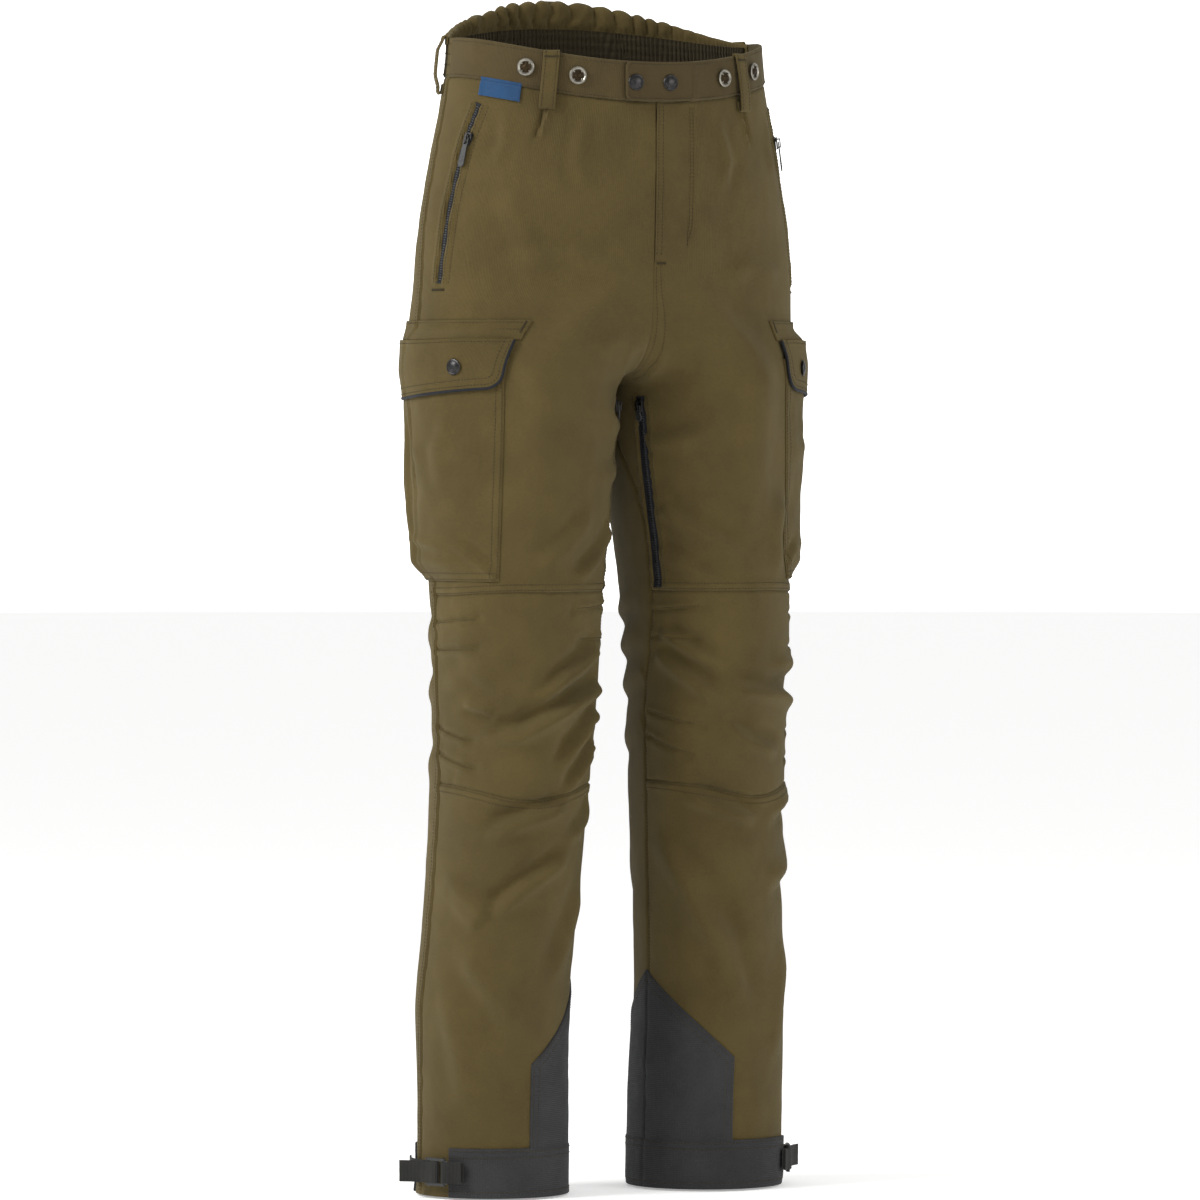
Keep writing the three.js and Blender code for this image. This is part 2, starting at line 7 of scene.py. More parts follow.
import logging
import math
from collections.abc import Callable
from dataclasses import dataclass, field
from enum import Enum
import bpy
import numpy as np
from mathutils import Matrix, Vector


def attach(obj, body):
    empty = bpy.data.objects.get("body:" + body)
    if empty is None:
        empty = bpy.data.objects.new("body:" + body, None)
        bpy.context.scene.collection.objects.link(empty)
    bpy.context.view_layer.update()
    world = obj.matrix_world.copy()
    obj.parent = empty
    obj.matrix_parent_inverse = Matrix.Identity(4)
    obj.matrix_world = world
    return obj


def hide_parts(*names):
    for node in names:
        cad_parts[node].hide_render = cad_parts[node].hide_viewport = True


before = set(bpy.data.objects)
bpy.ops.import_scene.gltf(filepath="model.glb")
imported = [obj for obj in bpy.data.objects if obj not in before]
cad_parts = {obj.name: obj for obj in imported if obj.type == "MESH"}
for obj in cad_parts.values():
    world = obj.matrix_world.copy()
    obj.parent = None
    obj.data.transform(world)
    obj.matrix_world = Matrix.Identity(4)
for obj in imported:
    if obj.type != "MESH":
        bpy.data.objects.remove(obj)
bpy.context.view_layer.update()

LOG = logging.getLogger("trousers")
Array = np.ndarray
WAIST_Z = 1050.0  # the frame's origin is this far above the hems
CROTCH_Z = 750.0
CROTCH_RISE = 110.0
BRIDGE = 26.0  # reach of the cloth that bridges the crotch seam's valley
KNEE_TOP_Z = 561.0
KNEE_LOW_Z = 384.0
HEM_BAND_Z = 46.0
SIDE_SEAM = 92.0
BAND_HEIGHT = 37.0
BACK_BAND_EXTRA = 23.0
FLY_WIDTH = 34.0
FLY_LOW = 866.0
FLY_TURN = 1030.0  # middle height of the tab, where its angles are taken
BACK_MM = 2.35  # millimetres a degree round the back of the waist
STITCH_SPLIT_Z = 900.0  # stitches above this make the waist's piece
# height, outer half width, inner edge, front and back of one side
SECTIONS = np.array([
    [0, 181, 40, -58, 86], [80, 181, 40, -60, 84], [165, 182, 41, -66, 80], [250, 177, 37, -74, 76],
    [330, 175, 31, -82, 72], [415, 174, 26, -90, 70], [498, 176, 22, -96, 72], [600, 177, 15, -98, 80],
    [650, 179, 9, -99, 88], [700, 182, 3, -101, 98], [750, 185, 0, -103, 118], [800, 187, 0, -104, 134],
    [850, 186, 0, -106, 138], [900, 182, 0, -108, 134], [960, 172, 0, -110, 122], [1020, 160, 0, -110, 114],
    [1060, 154, 0, -110, 112], [1120, 152, 0, -110, 114]], float)


class Side(Enum):
    """The wearer's right or left, as the sign of X."""

    RIGHT = -1
    LEFT = 1

    @property
    def word(self) -> str:
        """The ending of a node's name."""
        return self.name.lower()


def mix(a: Array | float, b: Array | float, t: Array | float) -> Array | float:
    """a where t is 0, b where t is 1, and a straight blend between."""
    return a + (b - a) * t


def smooth(x: Array | float, low: float, high: float) -> Array:
    """0 below low, 1 above high, and an S-curve between."""
    t = np.clip((np.asarray(x, float) - low) / (high - low), 0.0, 1.0)
    return t * t * (3 - 2 * t)


def bell(x: Array, width: float) -> Array:
    """A bump of height 1 at 0 that has fallen to a third at width."""
    return np.exp(-((x / width) ** 2))


def section(column: int, z: Array) -> Array:
    """The monotone cubic through one column of SECTIONS, at each height."""
    x, y = SECTIONS[:, 0], SECTIONS[:, column]
    rise = np.diff(y) / np.diff(x)
    product = rise[:-1] * rise[1:]
    total = np.where(product > 0, rise[:-1] + rise[1:], 1.0)
    slope = np.r_[rise[0], np.where(product > 0, 2 * product / total, 0.0), rise[-1]]
    i = np.clip(np.searchsorted(x, z) - 1, 0, len(x) - 2)
    span = x[i + 1] - x[i]
    t = np.clip((z - x[i]) / span, 0, 1)
    ends = y[i] * (2 * t**3 - 3 * t**2 + 1) + y[i + 1] * (3 * t**2 - 2 * t**3)
    return ends + span * (slope[i] * (t**3 - 2 * t**2 + t) + slope[i + 1] * (t**3 - t**2))


def seam_angle(z: Array | float) -> Array:
    """How far before the front the crotch seam runs: 90 where the legs part, 0 where the pelvis is one oval."""
    z = np.asarray(z, float)
    return np.where(z <= CROTCH_Z, 90.0, 90.0 * np.maximum(0.0, 1 - (z - CROTCH_Z) / CROTCH_RISE) ** 2.2)


def inner_edge(z: Array | float) -> Array:
    """The front panels' inner edge: centre front above the crotch, inseam below it."""
    z = np.asarray(z, float)
    below = np.where(z > 620, mix(66.0, 90.0, smooth(z, 620, CROTCH_Z)), mix(78.0, 66.0, smooth(z, 440, 560)))
    return -np.where(z > CROTCH_Z, seam_angle(z), below)


def back_edge(z: Array | float) -> Array:
    """The back panels' inner edge."""
    return np.where(np.asarray(z) > CROTCH_Z, 180 + seam_angle(z), 360 + inner_edge(z))


def skin(angle: Array, z: Array) -> Array:
    """Points of the smooth leg and pelvis on the wearer's right: an oval about a centre that moves out with the leg."""
    angle, z = np.broadcast_arrays(np.asarray(angle, float), np.asarray(z, float))
    high = z > CROTCH_Z
    outer = section(1, z)
    sine = np.sin(np.radians(seam_angle(z)))
    radius = np.where(high, outer / (1 + sine), (outer - section(2, z)) / 2)
    front, back = section(3, z), section(4, z)
    middle = (front + back) / 2 * np.where(high, 1 - smooth(z, CROTCH_Z, 860), 1.0)
    turn = np.radians(angle)
    depth = np.where(np.cos(turn) > 0, middle - front, back - middle)
    x = -0.1 - (outer - radius) - radius * np.sin(turn)
    y = middle - depth * np.cos(turn)
    # the cloth bridges the narrow valley where the two ovals meet at the crotch seam
    share = np.clip(np.abs(x + 0.1) / BRIDGE, 0, 1)
    oval = np.sqrt(np.clip(1 - ((outer - radius - BRIDGE) / radius) ** 2, 0, 1))
    shore = middle - depth * np.sign(np.cos(turn)) * oval
    hollow = np.where(np.cos(turn) > 0, y > shore, y < shore) & high
    filled = 0.8 * (1 - share**2) ** 2 * smooth(z, CROTCH_Z, CROTCH_Z + 22) * hollow
    return np.stack([x, mix(y, shore, filled), z], -1)


def unit(vectors: Array) -> Array:
    """Each vector at length 1."""
    return vectors / np.maximum(np.linalg.norm(vectors, axis=-1, keepdims=True), 1e-9)


def skin_normal(angle: Array, z: Array) -> Array:
    """Outward directions of the smooth skin: up crossed with round."""
    around = skin(angle + 0.5, z) - skin(angle - 0.5, z)
    up = skin(angle, z + 0.5) - skin(angle, z - 0.5)
    return unit(np.cross(up, around))


def arc_speed(angle: Array, z: Array) -> Array:
    """Millimetres of cloth for each degree round the leg."""
    return np.linalg.norm(skin(angle + 0.5, z) - skin(angle - 0.5, z), axis=-1)


def folded(angle: Array | float) -> Array:
    """Any angle as 0..180 degrees from the front."""
    a = np.abs(np.asarray(angle, float))
    return np.minimum(a, 360 - a)


def waist_top(angle: Array | float) -> Array:
    """Height of the waistband's top edge."""
    turn = np.radians(folded(angle))
    side, back = 1074.0, 1115.0
    return np.where(folded(angle) < 90, mix(WAIST_Z, side, np.sin(turn) ** 2), mix(side, back, np.cos(turn) ** 2))


def waist_seam(angle: Array | float) -> Array:
    """Height of the seam under the waistband."""
    turn = np.radians(folded(angle))
    return waist_top(angle) - BAND_HEIGHT - np.where(folded(angle) > 90, BACK_BAND_EXTRA * np.cos(turn) ** 2, 0)


LATTICE = np.random.default_rng(11).random((32, 32, 32)) * 2 - 1


def noise(points: Array, scale: tuple[float, float, float] | float, seed: int = 0) -> Array:
    """Smooth value noise in -1..1: random numbers on a lattice, blended by S-curves between them."""
    q = points / np.asarray(scale, float) + np.array([3.7, 9.1, 5.3]) * (seed + 1)
    base = np.floor(q).astype(int)
    f = q - base
    f = f * f * (3 - 2 * f)
    total = np.zeros(points.shape[:-1])
    for corner in np.ndindex(2, 2, 2):
        weight = np.prod(np.where(np.array(corner) == 1, f, 1 - f), axis=-1)
        i = (base + np.array(corner)) & 31
        total += weight * LATTICE[i[..., 0], i[..., 1], i[..., 2]]
    return total


def line_noise(s: Array, scale: float, seed: int = 0) -> Array:
    """The same noise along one length."""
    s = np.asarray(s, float)
    return noise(np.stack([s, np.zeros_like(s), np.zeros_like(s)], -1), scale, seed)


Path = tuple[tuple[float, float], ...]


def measure(path: Path, angle: Array, z: Array, speed: Array, reach: float) -> tuple[Array, Array, Array, Array]:
    """Where points lie beside a line drawn on the cloth.

    Args:
        path: angle and height of the line's corners.
        angle: angles of the points.
        z: heights of the points.
        speed: millimetres a degree at the points.
        reach: distance past which a point is left out.

    Returns:
        The indices of the near points, their signed distance, their share of the way along, and the length.
    """
    corners = np.array(path, float)
    speeds = arc_speed(corners[:, 0], corners[:, 1])
    pad = reach / 1.2
    near = np.flatnonzero((angle > corners[:, 0].min() - pad) & (angle < corners[:, 0].max() + pad)
                          & (z > corners[:, 1].min() - reach) & (z < corners[:, 1].max() + reach))
    centre = corners[:, 0].mean()
    x, y = (angle[near] - centre) * speed[near], z[near]
    px, py = (corners[:, 0] - centre) * speeds, corners[:, 1]
    best, sign, share = np.full(x.shape, 1e9), np.ones(x.shape), np.zeros(x.shape)
    lengths = np.hypot(np.diff(px), np.diff(py))
    done = 0.0
    for k, length in enumerate(lengths):
        dx, dy = px[k + 1] - px[k], py[k + 1] - py[k]
        t = np.clip(((x - px[k]) * dx + (y - py[k]) * dy) / max(length**2, 1e-9), 0, 1)
        gx, gy = x - px[k] - t * dx, y - py[k] - t * dy
        d = np.hypot(gx, gy)
        closer = d < best
        best = np.where(closer, d, best)
        sign = np.where(closer, np.sign(dx * gy - dy * gx), sign)
        share = np.where(closer, (done + t * length) / lengths.sum(), share)
        done += length
    return near, best * sign, share, float(lengths.sum())


@dataclass(frozen=True)
class Fold:
    """A crease in the cloth: a rounded ridge with a valley on one side, dying away at both ends."""

    path: Path
    height: float = 3.0
    width: float = 9.0
    valley: float = 0.6
    fade: tuple[float, float] = (0.3, 0.3)

    def add_to(self, relief: Array, angle: Array, z: Array, speed: Array) -> None:
        """Adds the fold to the cloth's relief."""
        near, d, t, _ = measure(self.path, angle, z, speed, 4 * self.width)
        ends = smooth(t, 0, self.fade[0]) * (1 - smooth(t, 1 - self.fade[1], 1))
        shape = bell(d, self.width) - self.valley * bell(d - 1.5 * self.width, self.width)
        relief[near] += self.height * ends * shape


@dataclass(frozen=True)
class Seam:
    """A sewn line: a groove, the turned allowance raised on one side, dips under the stitches and small puckers."""

    path: Path
    raised: int = 1  # side of the line that the allowance lies on, or 0 for none
    allowance: float = 8.0
    depth: float = 1.5
    puckers: float = 0.5
    pitch: float = 9.0

    def add_to(self, relief: Array, angle: Array, z: Array, speed: Array) -> None:
        """Adds the seam to the cloth's relief."""
        near, d, t, length = measure(self.path, angle, z, speed, 26)
        s = d * (self.raised or 1)
        ripple = line_noise(t * length + d * 0.25, self.pitch, 5) * bell(d, 11.0)
        change = -self.depth * bell(d, 1.3) + self.puckers * ripple * 1.8
        if self.raised:
            change += 0.95 * smooth(s, 0.3, 1.6) * (1 - smooth(s, self.allowance, self.allowance + 1.6))
            change -= 0.4 * (bell(s - 2.2, 0.9) + bell(s - self.allowance + 1.0, 0.9))
        relief[near] += change


@dataclass(frozen=True)
class Dart:
    """A short stitched tuck that ends in a dimple and lets the knee bulge."""

    path: Path

    def add_to(self, relief: Array, angle: Array, z: Array, speed: Array) -> None:
        """Adds the dart: a groove, a lap above it, a dimple at its end and fine gathers around."""
        near, d, t, length = measure(self.path, angle, z, speed, 24)
        body = 1 - smooth(t, 0.75, 1.0)
        change = (-1.6 * bell(d, 1.5) + 1.3 * bell(d - 4.0, 3.2) + 0.6 * bell(d + 5.0, 3.5)) * body
        change += -2.6 * bell(d, 4.5) * bell((1 - t) * length, 7.0)
        change += 0.7 * line_noise(t * length, 6.5, 3) * bell(d, 9.0)
        relief[near] += change


def knee_low(angle: Array | float) -> Array:
    """Height of the seam under the knee: it dips at the front of the leg."""
    return KNEE_LOW_Z - 15.0 * bell(np.asarray(angle, float) - 12.0, 42.0)


def knee_top(angle: Array | float) -> Array:
    """Height of the seam over the knee."""
    return KNEE_TOP_Z - 4.0 * smooth(angle, 20, 90)


def constant(value: float) -> Callable:
    """A formula that ignores where it is asked."""
    return lambda x: value + 0 * np.asarray(x, float)


def sampled(height: Callable, start: float, stop: float, count: int = 12) -> Path:
    """A line whose height follows a formula of the angle."""
    angles = np.linspace(start, stop, count)
    return tuple((float(a), float(h)) for a, h in zip(angles, np.broadcast_to(height(angles), angles.shape)))


def upright(angle_of: Callable, low: float, high: float, count: int = 14) -> Path:
    """A line whose angle follows a formula of the height."""
    heights = np.linspace(low, high, count)
    return tuple((float(a), float(h)) for a, h in zip(np.broadcast_to(angle_of(heights), heights.shape), heights))


WAIST_DARTS = (Fold(((37, 1012), (38.5, 990), (40.5, 966)), 1.5, 2.6, 1.3, (0.02, 0.5)),
               Fold(((92, 1030), (92, 1000)), 0.6, 3.0, 0.5))

DARTS = {
    Side.RIGHT: (Dart(((92, 533), (52, 538))), Dart(((92, 508), (52, 510))), Dart(((92, 436), (57, 424))),
                 Dart(((92, 412), (54, 398))), Dart(((-66, 548), (-16, 544))), Dart(((-66, 517), (-26, 516))),
                 Dart(((-76, 444), (-44, 436))), Dart(((-77, 420), (-50, 410)))),
    Side.LEFT: (Dart(((-67, 542), (-28, 546))), Dart(((-68, 518), (-35, 514))), Dart(((-73, 448), (-31, 434))),
                Dart(((-76, 426), (-40, 408))), Dart(((92, 536), (54, 540))), Dart(((92, 508), (55, 508))),
                Dart(((92, 438), (58, 426))), Dart(((92, 412), (56, 400)))),
}

KNEE_FOLDS = {
    Side.RIGHT: (
        Fold(((-50, 512), (-11, 482), (12, 452)), 4.6, 8, 0.7, (0.15, 0.4)),
        Fold(((-60, 476), (-22, 459), (5, 440), (21, 429), (40, 427), (55, 440)), 5.2, 8, 0.8, (0.12, 0.35)),
        Fold(((66, 459), (38, 451)), 2.6, 5, 0.8),
        Fold(((-55, 452), (-21, 418), (-6, 388)), 4.2, 7, 0.7, (0.1, 0.4)),
        Fold(((-55, 420), (-27, 390), (-14, 368)), 3.6, 6, 0.7, (0.1, 0.4)),
        Fold(((88, 470), (60, 486), (34, 480)), 2.6, 9, 0.5),
        Fold(((80, 520), (50, 500), (20, 505)), 2.2, 12, 0.4),
        Fold(((-25, 366), (10, 352), (46, 334)), 4.4, 8, 0.8),
        Fold(((-30, 324), (10, 288), (34, 261)), 4.0, 8, 0.8, (0.3, 0.15)),
        Fold(((82, 306), (51, 276), (34, 261)), 3.4, 8, -0.7, (0.3, 0.15)),
        Fold(((60, 240), (21, 184), (0, 140)), 3.4, 13, 0.6),
        Fold(((-60, 300), (-34, 240), (-20, 190)), 3.0, 12, 0.5),
        Fold(((70, 200), (50, 130), (44, 70)), 2.6, 14, 0.5),
        Fold(((-66, 372), (-50, 350), (-20, 330)), 2.8, 7, 0.6)),
    Side.LEFT: (
        Fold(((-62, 524), (-34, 502), (-14, 486)), 4.2, 7, 0.7, (0.15, 0.4)),
        Fold(((-66, 504), (-38, 478), (-12, 450)), 4.6, 8, 0.7, (0.12, 0.35)),
        Fold(((-30, 478), (0, 468), (40, 462), (80, 452)), 4.2, 8, 0.7, (0.3, 0.1)),
        Fold(((84, 498), (50, 490), (20, 496)), 3.2, 9, 0.6, (0.1, 0.3)),
        Fold(((-50, 374), (-17, 358), (16, 344)), 4.6, 8, 0.8),
        Fold(((84, 372), (50, 362), (20, 350)), 3.6, 8, 0.6, (0.1, 0.4)),
        Fold(((-74, 344), (-33, 272), (0, 210)), 3.8, 12, 0.6),
        Fold(((-50, 286), (-18, 226), (4, 160)), 3.2, 12, 0.6),
        Fold(((84, 330), (56, 300), (20, 290)), 3.4, 11, 0.6, (0.1, 0.3)),
        Fold(((60, 240), (40, 180), (34, 110)), 3.0, 14, 0.6),
        Fold(((-20, 440), (6, 418), (40, 408)), 3.0, 8, 0.7)),
}

THIGH_FOLDS = {
    Side.RIGHT: (
        Fold(((-84, 742), (-52, 760), (-20, 800)), 3.0, 9, 0.6, (0.05, 0.5)),
        Fold(((-78, 712), (-50, 716), (-26, 740)), 2.6, 9, 0.6, (0.05, 0.5)),
        Fold(((-68, 676), (-46, 668), (-20, 676)), 2.4, 9, 0.5, (0.05, 0.5)),
        Fold(((10, 900), (14, 800), (8, 700), (6, 620)), 2.2, 22, 0.3),
        Fold(((-30, 640), (-8, 604), (14, 580)), 2.6, 9, 0.6),
        Fold(((-60, 620), (-34, 590), (-12, 566)), 3.0, 7, 0.7, (0.1, 0.3)),
        Fold(((50, 940), (40, 880), (30, 850)), 2.0, 12, 0.5),
        Fold(((6, 850), (24, 868), (52, 862)), 1.8, 10, 0.5),
        Fold(((24, 1004), (26, 960), (22, 930)), 1.6, 7, 0.6),
        Fold(((54, 1008), (52, 976), (56, 950)), 1.5, 7, 0.6)),
    Side.LEFT: (
        Fold(((-84, 744), (-50, 766), (-16, 806)), 3.2, 9, 0.6, (0.05, 0.5)),
        Fold(((-60, 700), (-36, 700), (-10, 716)), 2.6, 9, 0.6, (0.2, 0.5)),
        Fold(((12, 880), (16, 780), (10, 690), (4, 610)), 2.4, 20, 0.4),
        Fold(((-54, 640), (-26, 612), (2, 592)), 3.2, 8, 0.7, (0.1, 0.3)),
        Fold(((-58, 600), (-34, 580), (-14, 564)), 2.6, 7, 0.7, (0.1, 0.3)),
        Fold(((40, 660), (30, 610), (34, 570)), 2.6, 12, 0.5),
        Fold(((22, 850), (36, 862), (60, 854)), 2.0, 10, 0.5),
        Fold(((24, 1000), (28, 960), (24, 930)), 1.6, 7, 0.6),
        Fold(((60, 1006), (56, 970), (60, 940)), 1.6, 8, 0.6)),
}

BACK_FOLDS = (
    Fold(((262, 742), (228, 770), (200, 800)), 3.6, 10, 0.6, (0.05, 0.4)),
    Fold(((258, 716), (228, 728), (204, 752)), 3.4, 9, 0.6, (0.05, 0.4)),
    Fold(((262, 690), (236, 690), (206, 706)), 3.0, 9, 0.6, (0.05, 0.4)),
    Fold(((280, 560), (240, 540), (190, 548), (150, 560)), 4.4, 9, 0.8, (0.1, 0.3)),
    Fold(((282, 524), (240, 506), (200, 498), (150, 510)), 4.8, 9, 0.8, (0.1, 0.3)),
    Fold(((100, 530), (140, 506), (170, 470)), 3.8, 9, 0.8, (0.05, 0.4)),
    Fold(((284, 486), (250, 474), (214, 460)), 4.2, 9, 0.8, (0.05, 0.3)),
    Fold(((98, 478), (130, 462), (176, 440), (220, 436)), 4.4, 9, 0.8, (0.05, 0.3)),
    Fold(((282, 440), (240, 420), (200, 404)), 3.6, 10, 0.7, (0.05, 0.4)),
    Fold(((100, 410), (140, 390), (176, 380)), 3.2, 10, 0.7, (0.05, 0.4)),
    Fold(((120, 330), (160, 270), (200, 230)), 3.4, 13, 0.6),
    Fold(((250, 330), (220, 270), (200, 200)), 3.0, 13, 0.6),
    Fold(((120, 200), (150, 130), (160, 80)), 2.8, 14, 0.6),
    Fold(((110, 980), (130, 930), (150, 880)), 2.8, 16, 0.5),
    Fold(((170, 990), (176, 900), (190, 840)), 2.4, 18, 0.5),
)


@dataclass
class Garment:
    """The worn cloth: the smooth skin with its folds, undulations, darts and seams.

    Attributes:
        seams: sewn lines and zip channels that press into the cloth on both legs.
        far: how far the loose undulations rise, in millimetres.
        fullness: how deep the folds are against their listed heights.
    """

    far: float = 2.4
    fullness: float = 1.9
    seams: list["Seam | Channel"] = field(default_factory=list)

    def __post_init__(self) -> None:
        """Lays out the seams that every panel shares."""
        self.seams = [
            Seam(upright(constant(SIDE_SEAM), 0, 1036), raised=-1, depth=1.4, puckers=0.55),
            Seam(upright(inner_edge, 0, 748, 26), raised=0, depth=1.6, puckers=0.5),
            Seam(upright(lambda z: 360 + inner_edge(z), 0, 748, 26), raised=0, depth=1.6, puckers=0.5),
            Seam(upright(lambda z: -seam_angle(z), 752, 866, 20), raised=0, depth=1.6, puckers=0.4),
            Seam(upright(lambda z: 180 + seam_angle(z), 752, 1050, 24), raised=-1, depth=1.6, puckers=0.6),
            Seam(sampled(knee_top, -68, 92), raised=1, puckers=0.5),
            Seam(sampled(knee_low, -79, 92, 18), raised=-1, puckers=0.6),
            Seam(sampled(waist_seam, 0, 180, 18), raised=0, depth=1.4, puckers=0.35, pitch=12),
        ]

    def relief(self, side: Side, angle: Array, z: Array) -> Array:
        """How far the cloth stands off the smooth skin.

        Args:
            side: the leg.
            angle: degrees from the front, in -180..360.
            z: heights above the hems.

        Returns:
            Millimetres outwards: two scales of noise stretched along the leg, then folds, darts and seams.
        """
        shape = angle.shape
        angle, z = angle.ravel(), z.ravel()
        points = skin(angle, z) * np.array([side.value, 1, 1])
        speed = arc_speed(angle, z)
        calm = 1 - 0.55 * smooth(z, 900, 1010)
        out = calm * (self.far * noise(points, (70, 70, 150), 1) + 0.8 * noise(points, (26, 26, 60), 2))
        out += 0.28 * noise(points, (9, 9, 15), 3)
        turned = np.where(angle < -90, angle + 360, angle)
        folds = np.zeros(out.shape)
        for fold in THIGH_FOLDS[side] + KNEE_FOLDS[side] + WAIST_DARTS:
            fold.add_to(folds, angle, z, speed)
        out += self.fullness * folds * (1 - 0.7 * bell(angle - 86, 26)) * (1 - 0.5 * bell(angle + 70, 18))
        behind = np.zeros(out.shape)
        for fold in BACK_FOLDS:
            fold.add_to(behind, turned, z, speed)
        out += behind * (0.9 - 0.5 * bell(folded(angle) - 90, 30))
        for dart in DARTS[side]:
            dart.add_to(out, angle, z, speed)
        middle = np.where(z > CROTCH_Z - 12, smooth(np.abs(points[:, 0]), 0.5, 16), 1.0)
        out *= mix(1.0, middle, smooth(z, CROTCH_Z - 12, CROTCH_Z + 4))
        grooves = np.zeros(out.shape)
        for seam in self.seams:
            seam.add_to(grooves, angle, z, speed)
        out += grooves * (0.35 + 0.65 * middle)
        low = smooth(z, 0, 10)
        return (out * (0.35 + 0.65 * low)).reshape(shape)

    def cloth(self, side: Side, angle: Array, z: Array, out: Array | float = 0.0) -> Array:
        """Points of the worn cloth, out millimetres off its face."""
        angle, z = np.broadcast_arrays(np.asarray(angle, float), np.asarray(z, float))
        lift = self.relief(side, angle, z) + out
        points = skin(angle, z) + skin_normal(angle, z) * lift[..., None]
        return points * np.array([-side.value, 1, 1])

    def plain(self, side: Side, angle: Array, z: Array, out: Array | float = 0.0) -> Array:
        """Points off the smooth skin, without its folds."""
        angle, z, out = np.broadcast_arrays(np.asarray(angle, float), np.asarray(z, float), np.asarray(out, float))
        points = skin(angle, z) + skin_normal(angle, z) * out[..., None]
        return points * np.array([-side.value, 1, 1])

    def outward(self, side: Side, angle: Array, z: Array) -> Array:
        """The smooth skin's outward directions."""
        return skin_normal(np.asarray(angle, float), np.asarray(z, float)) * np.array([-side.value, 1, 1])


GARMENT = Garment()


@dataclass
class Patch:
    """One closed surface: points and a flat map in millimetres, four-cornered faces and a material index."""

    points: Array
    quads: Array
    flat: Array
    index: Array

    def moved(self, index: int) -> "Patch":
        """The same surface with another material index."""
        return Patch(self.points, self.quads, self.flat, np.full(len(self.quads), index))


def grid_quads(rows: int, columns: int) -> Array:
    """Corner numbers of a grid's cells."""
    i = np.arange(rows * columns).reshape(rows, columns)
    return np.stack([i[:-1, :-1], i[:-1, 1:], i[1:, 1:], i[1:, :-1]], -1).reshape(-1, 4)


def ring_quads(rings: int, count: int) -> Array:
    """Corner numbers of rings of points, each closed round and joined to the next."""
    rows, j = np.arange(rings - 1)[:, None] * count, np.arange(count)[None]
    after = (j + 1) % count
    return np.stack([rows + j, rows + after, rows + count + after, rows + count + j], -1).reshape(-1, 4)


def relaxed(line: Array, times: int) -> Array:
    """A line whose inner points have moved, several times, to a 1-2-1 average of themselves and their neighbours."""
    for _ in range(times):
        line[1:-1] = (line[:-2] + 2 * line[1:-1] + line[2:]) / 4
    return line


def shell(outer: Array, inner: Array, flat: Array, keep: Array | None = None, lined: bool = True) -> Patch:
    """A closed wall between two grids of points.

    Args:
        outer: rows x columns x 3 points of the outside.
        inner: the same grid on the inside.
        flat: rows x columns x 2 places on the cloth, in millimetres.
        keep: cells of the grid that exist, or None for all.
        lined: whether inside faces take material 1.

    Returns:
        Outside, inside turned round, and a rim along every edge that only one cell has.
    """
    rows, columns = outer.shape[:2]
    quads = grid_quads(rows, columns)
    if keep is not None:
        quads = quads[keep.ravel()]
    a, b = outer.reshape(-1, 3), inner.reshape(-1, 3)
    count = len(a)
    corners = a[quads]
    facing = np.cross(corners[:, 2] - corners[:, 0], corners[:, 3] - corners[:, 1])
    if ((a - b)[quads[:, 0]] * facing).sum() < 0:
        quads = quads[:, ::-1]
    edges = np.concatenate([quads[:, [k, (k + 1) % 4]] for k in range(4)])
    code, back = edges[:, 0] * count + edges[:, 1], edges[:, 1] * count + edges[:, 0]
    rim = edges[~np.isin(code, back)]
    walls = np.stack([rim[:, 1], rim[:, 0], rim[:, 0] + count, rim[:, 1] + count], -1)
    faces = np.concatenate([quads, quads[:, ::-1] + count, walls])
    index = np.r_[np.zeros(len(quads)), np.full(len(quads), 1.0 if lined else 0.0), np.zeros(len(walls))].astype(int)
    used, again = np.unique(faces, return_inverse=True)
    points = np.concatenate([a, b])[used]
    maps = np.concatenate([flat.reshape(-1, 2)] * 2)[used]
    return Patch(points, again.reshape(faces.shape), maps, index)


def swept(path: Array, side_way: Array, profile: Array) -> Patch:
    """A profile carried along a path, each end closed by shrinking the outline to its middle.

    Args:
        path: n x 3 points.
        side_way: n x 3 directions of the profile's first axis, which are made square to the path.
        profile: k x 2 closed outline, anticlockwise, across and outwards.

    Returns:
        The tube's surface.
    """
    along = unit(np.gradient(path, axis=0))
    across = unit(side_way - (side_way * along).sum(-1, keepdims=True) * along)
    out = np.cross(across, along)
    picks = np.r_[0, np.arange(len(path)), len(path) - 1]
    scale = np.ones(len(picks))
    scale[0] = scale[-1] = 0.0
    middle = profile.mean(0)
    outline = (profile - middle)[None] * scale[:, None, None] + middle
    points = path[picks][:, None] + outline[..., :1] * across[picks][:, None] + outline[..., 1:] * out[picks][:, None]
    quads = ring_quads(len(picks), len(profile))
    length = np.r_[0, np.cumsum(np.linalg.norm(np.diff(path, axis=0), axis=1))][picks]
    flat = np.stack(np.broadcast_arrays(profile[:, 0][None], length[:, None]), -1).reshape(-1, 2)
    return outward_facing(welded(Patch(points.reshape(-1, 3), quads, flat, np.zeros(len(quads), int))))


def welded(patch: Patch) -> Patch:
    """Gives points at the same place, such as a pole's ring, one number."""
    _, first, again = np.unique(np.round(patch.points, 5), axis=0, return_index=True, return_inverse=True)
    return Patch(patch.points[first], again.reshape(-1)[patch.quads], patch.flat[first], patch.index)


def outward_facing(patch: Patch) -> Patch:
    """Turns a closed surface round when its signed volume is negative."""
    c = patch.points[patch.quads]
    volume = (np.cross(c[:, 0], c[:, 1]) * c[:, 2]).sum() + (np.cross(c[:, 0], c[:, 2]) * c[:, 3]).sum()
    return patch if volume > 0 else Patch(patch.points, patch.quads[:, ::-1], patch.flat, patch.index)


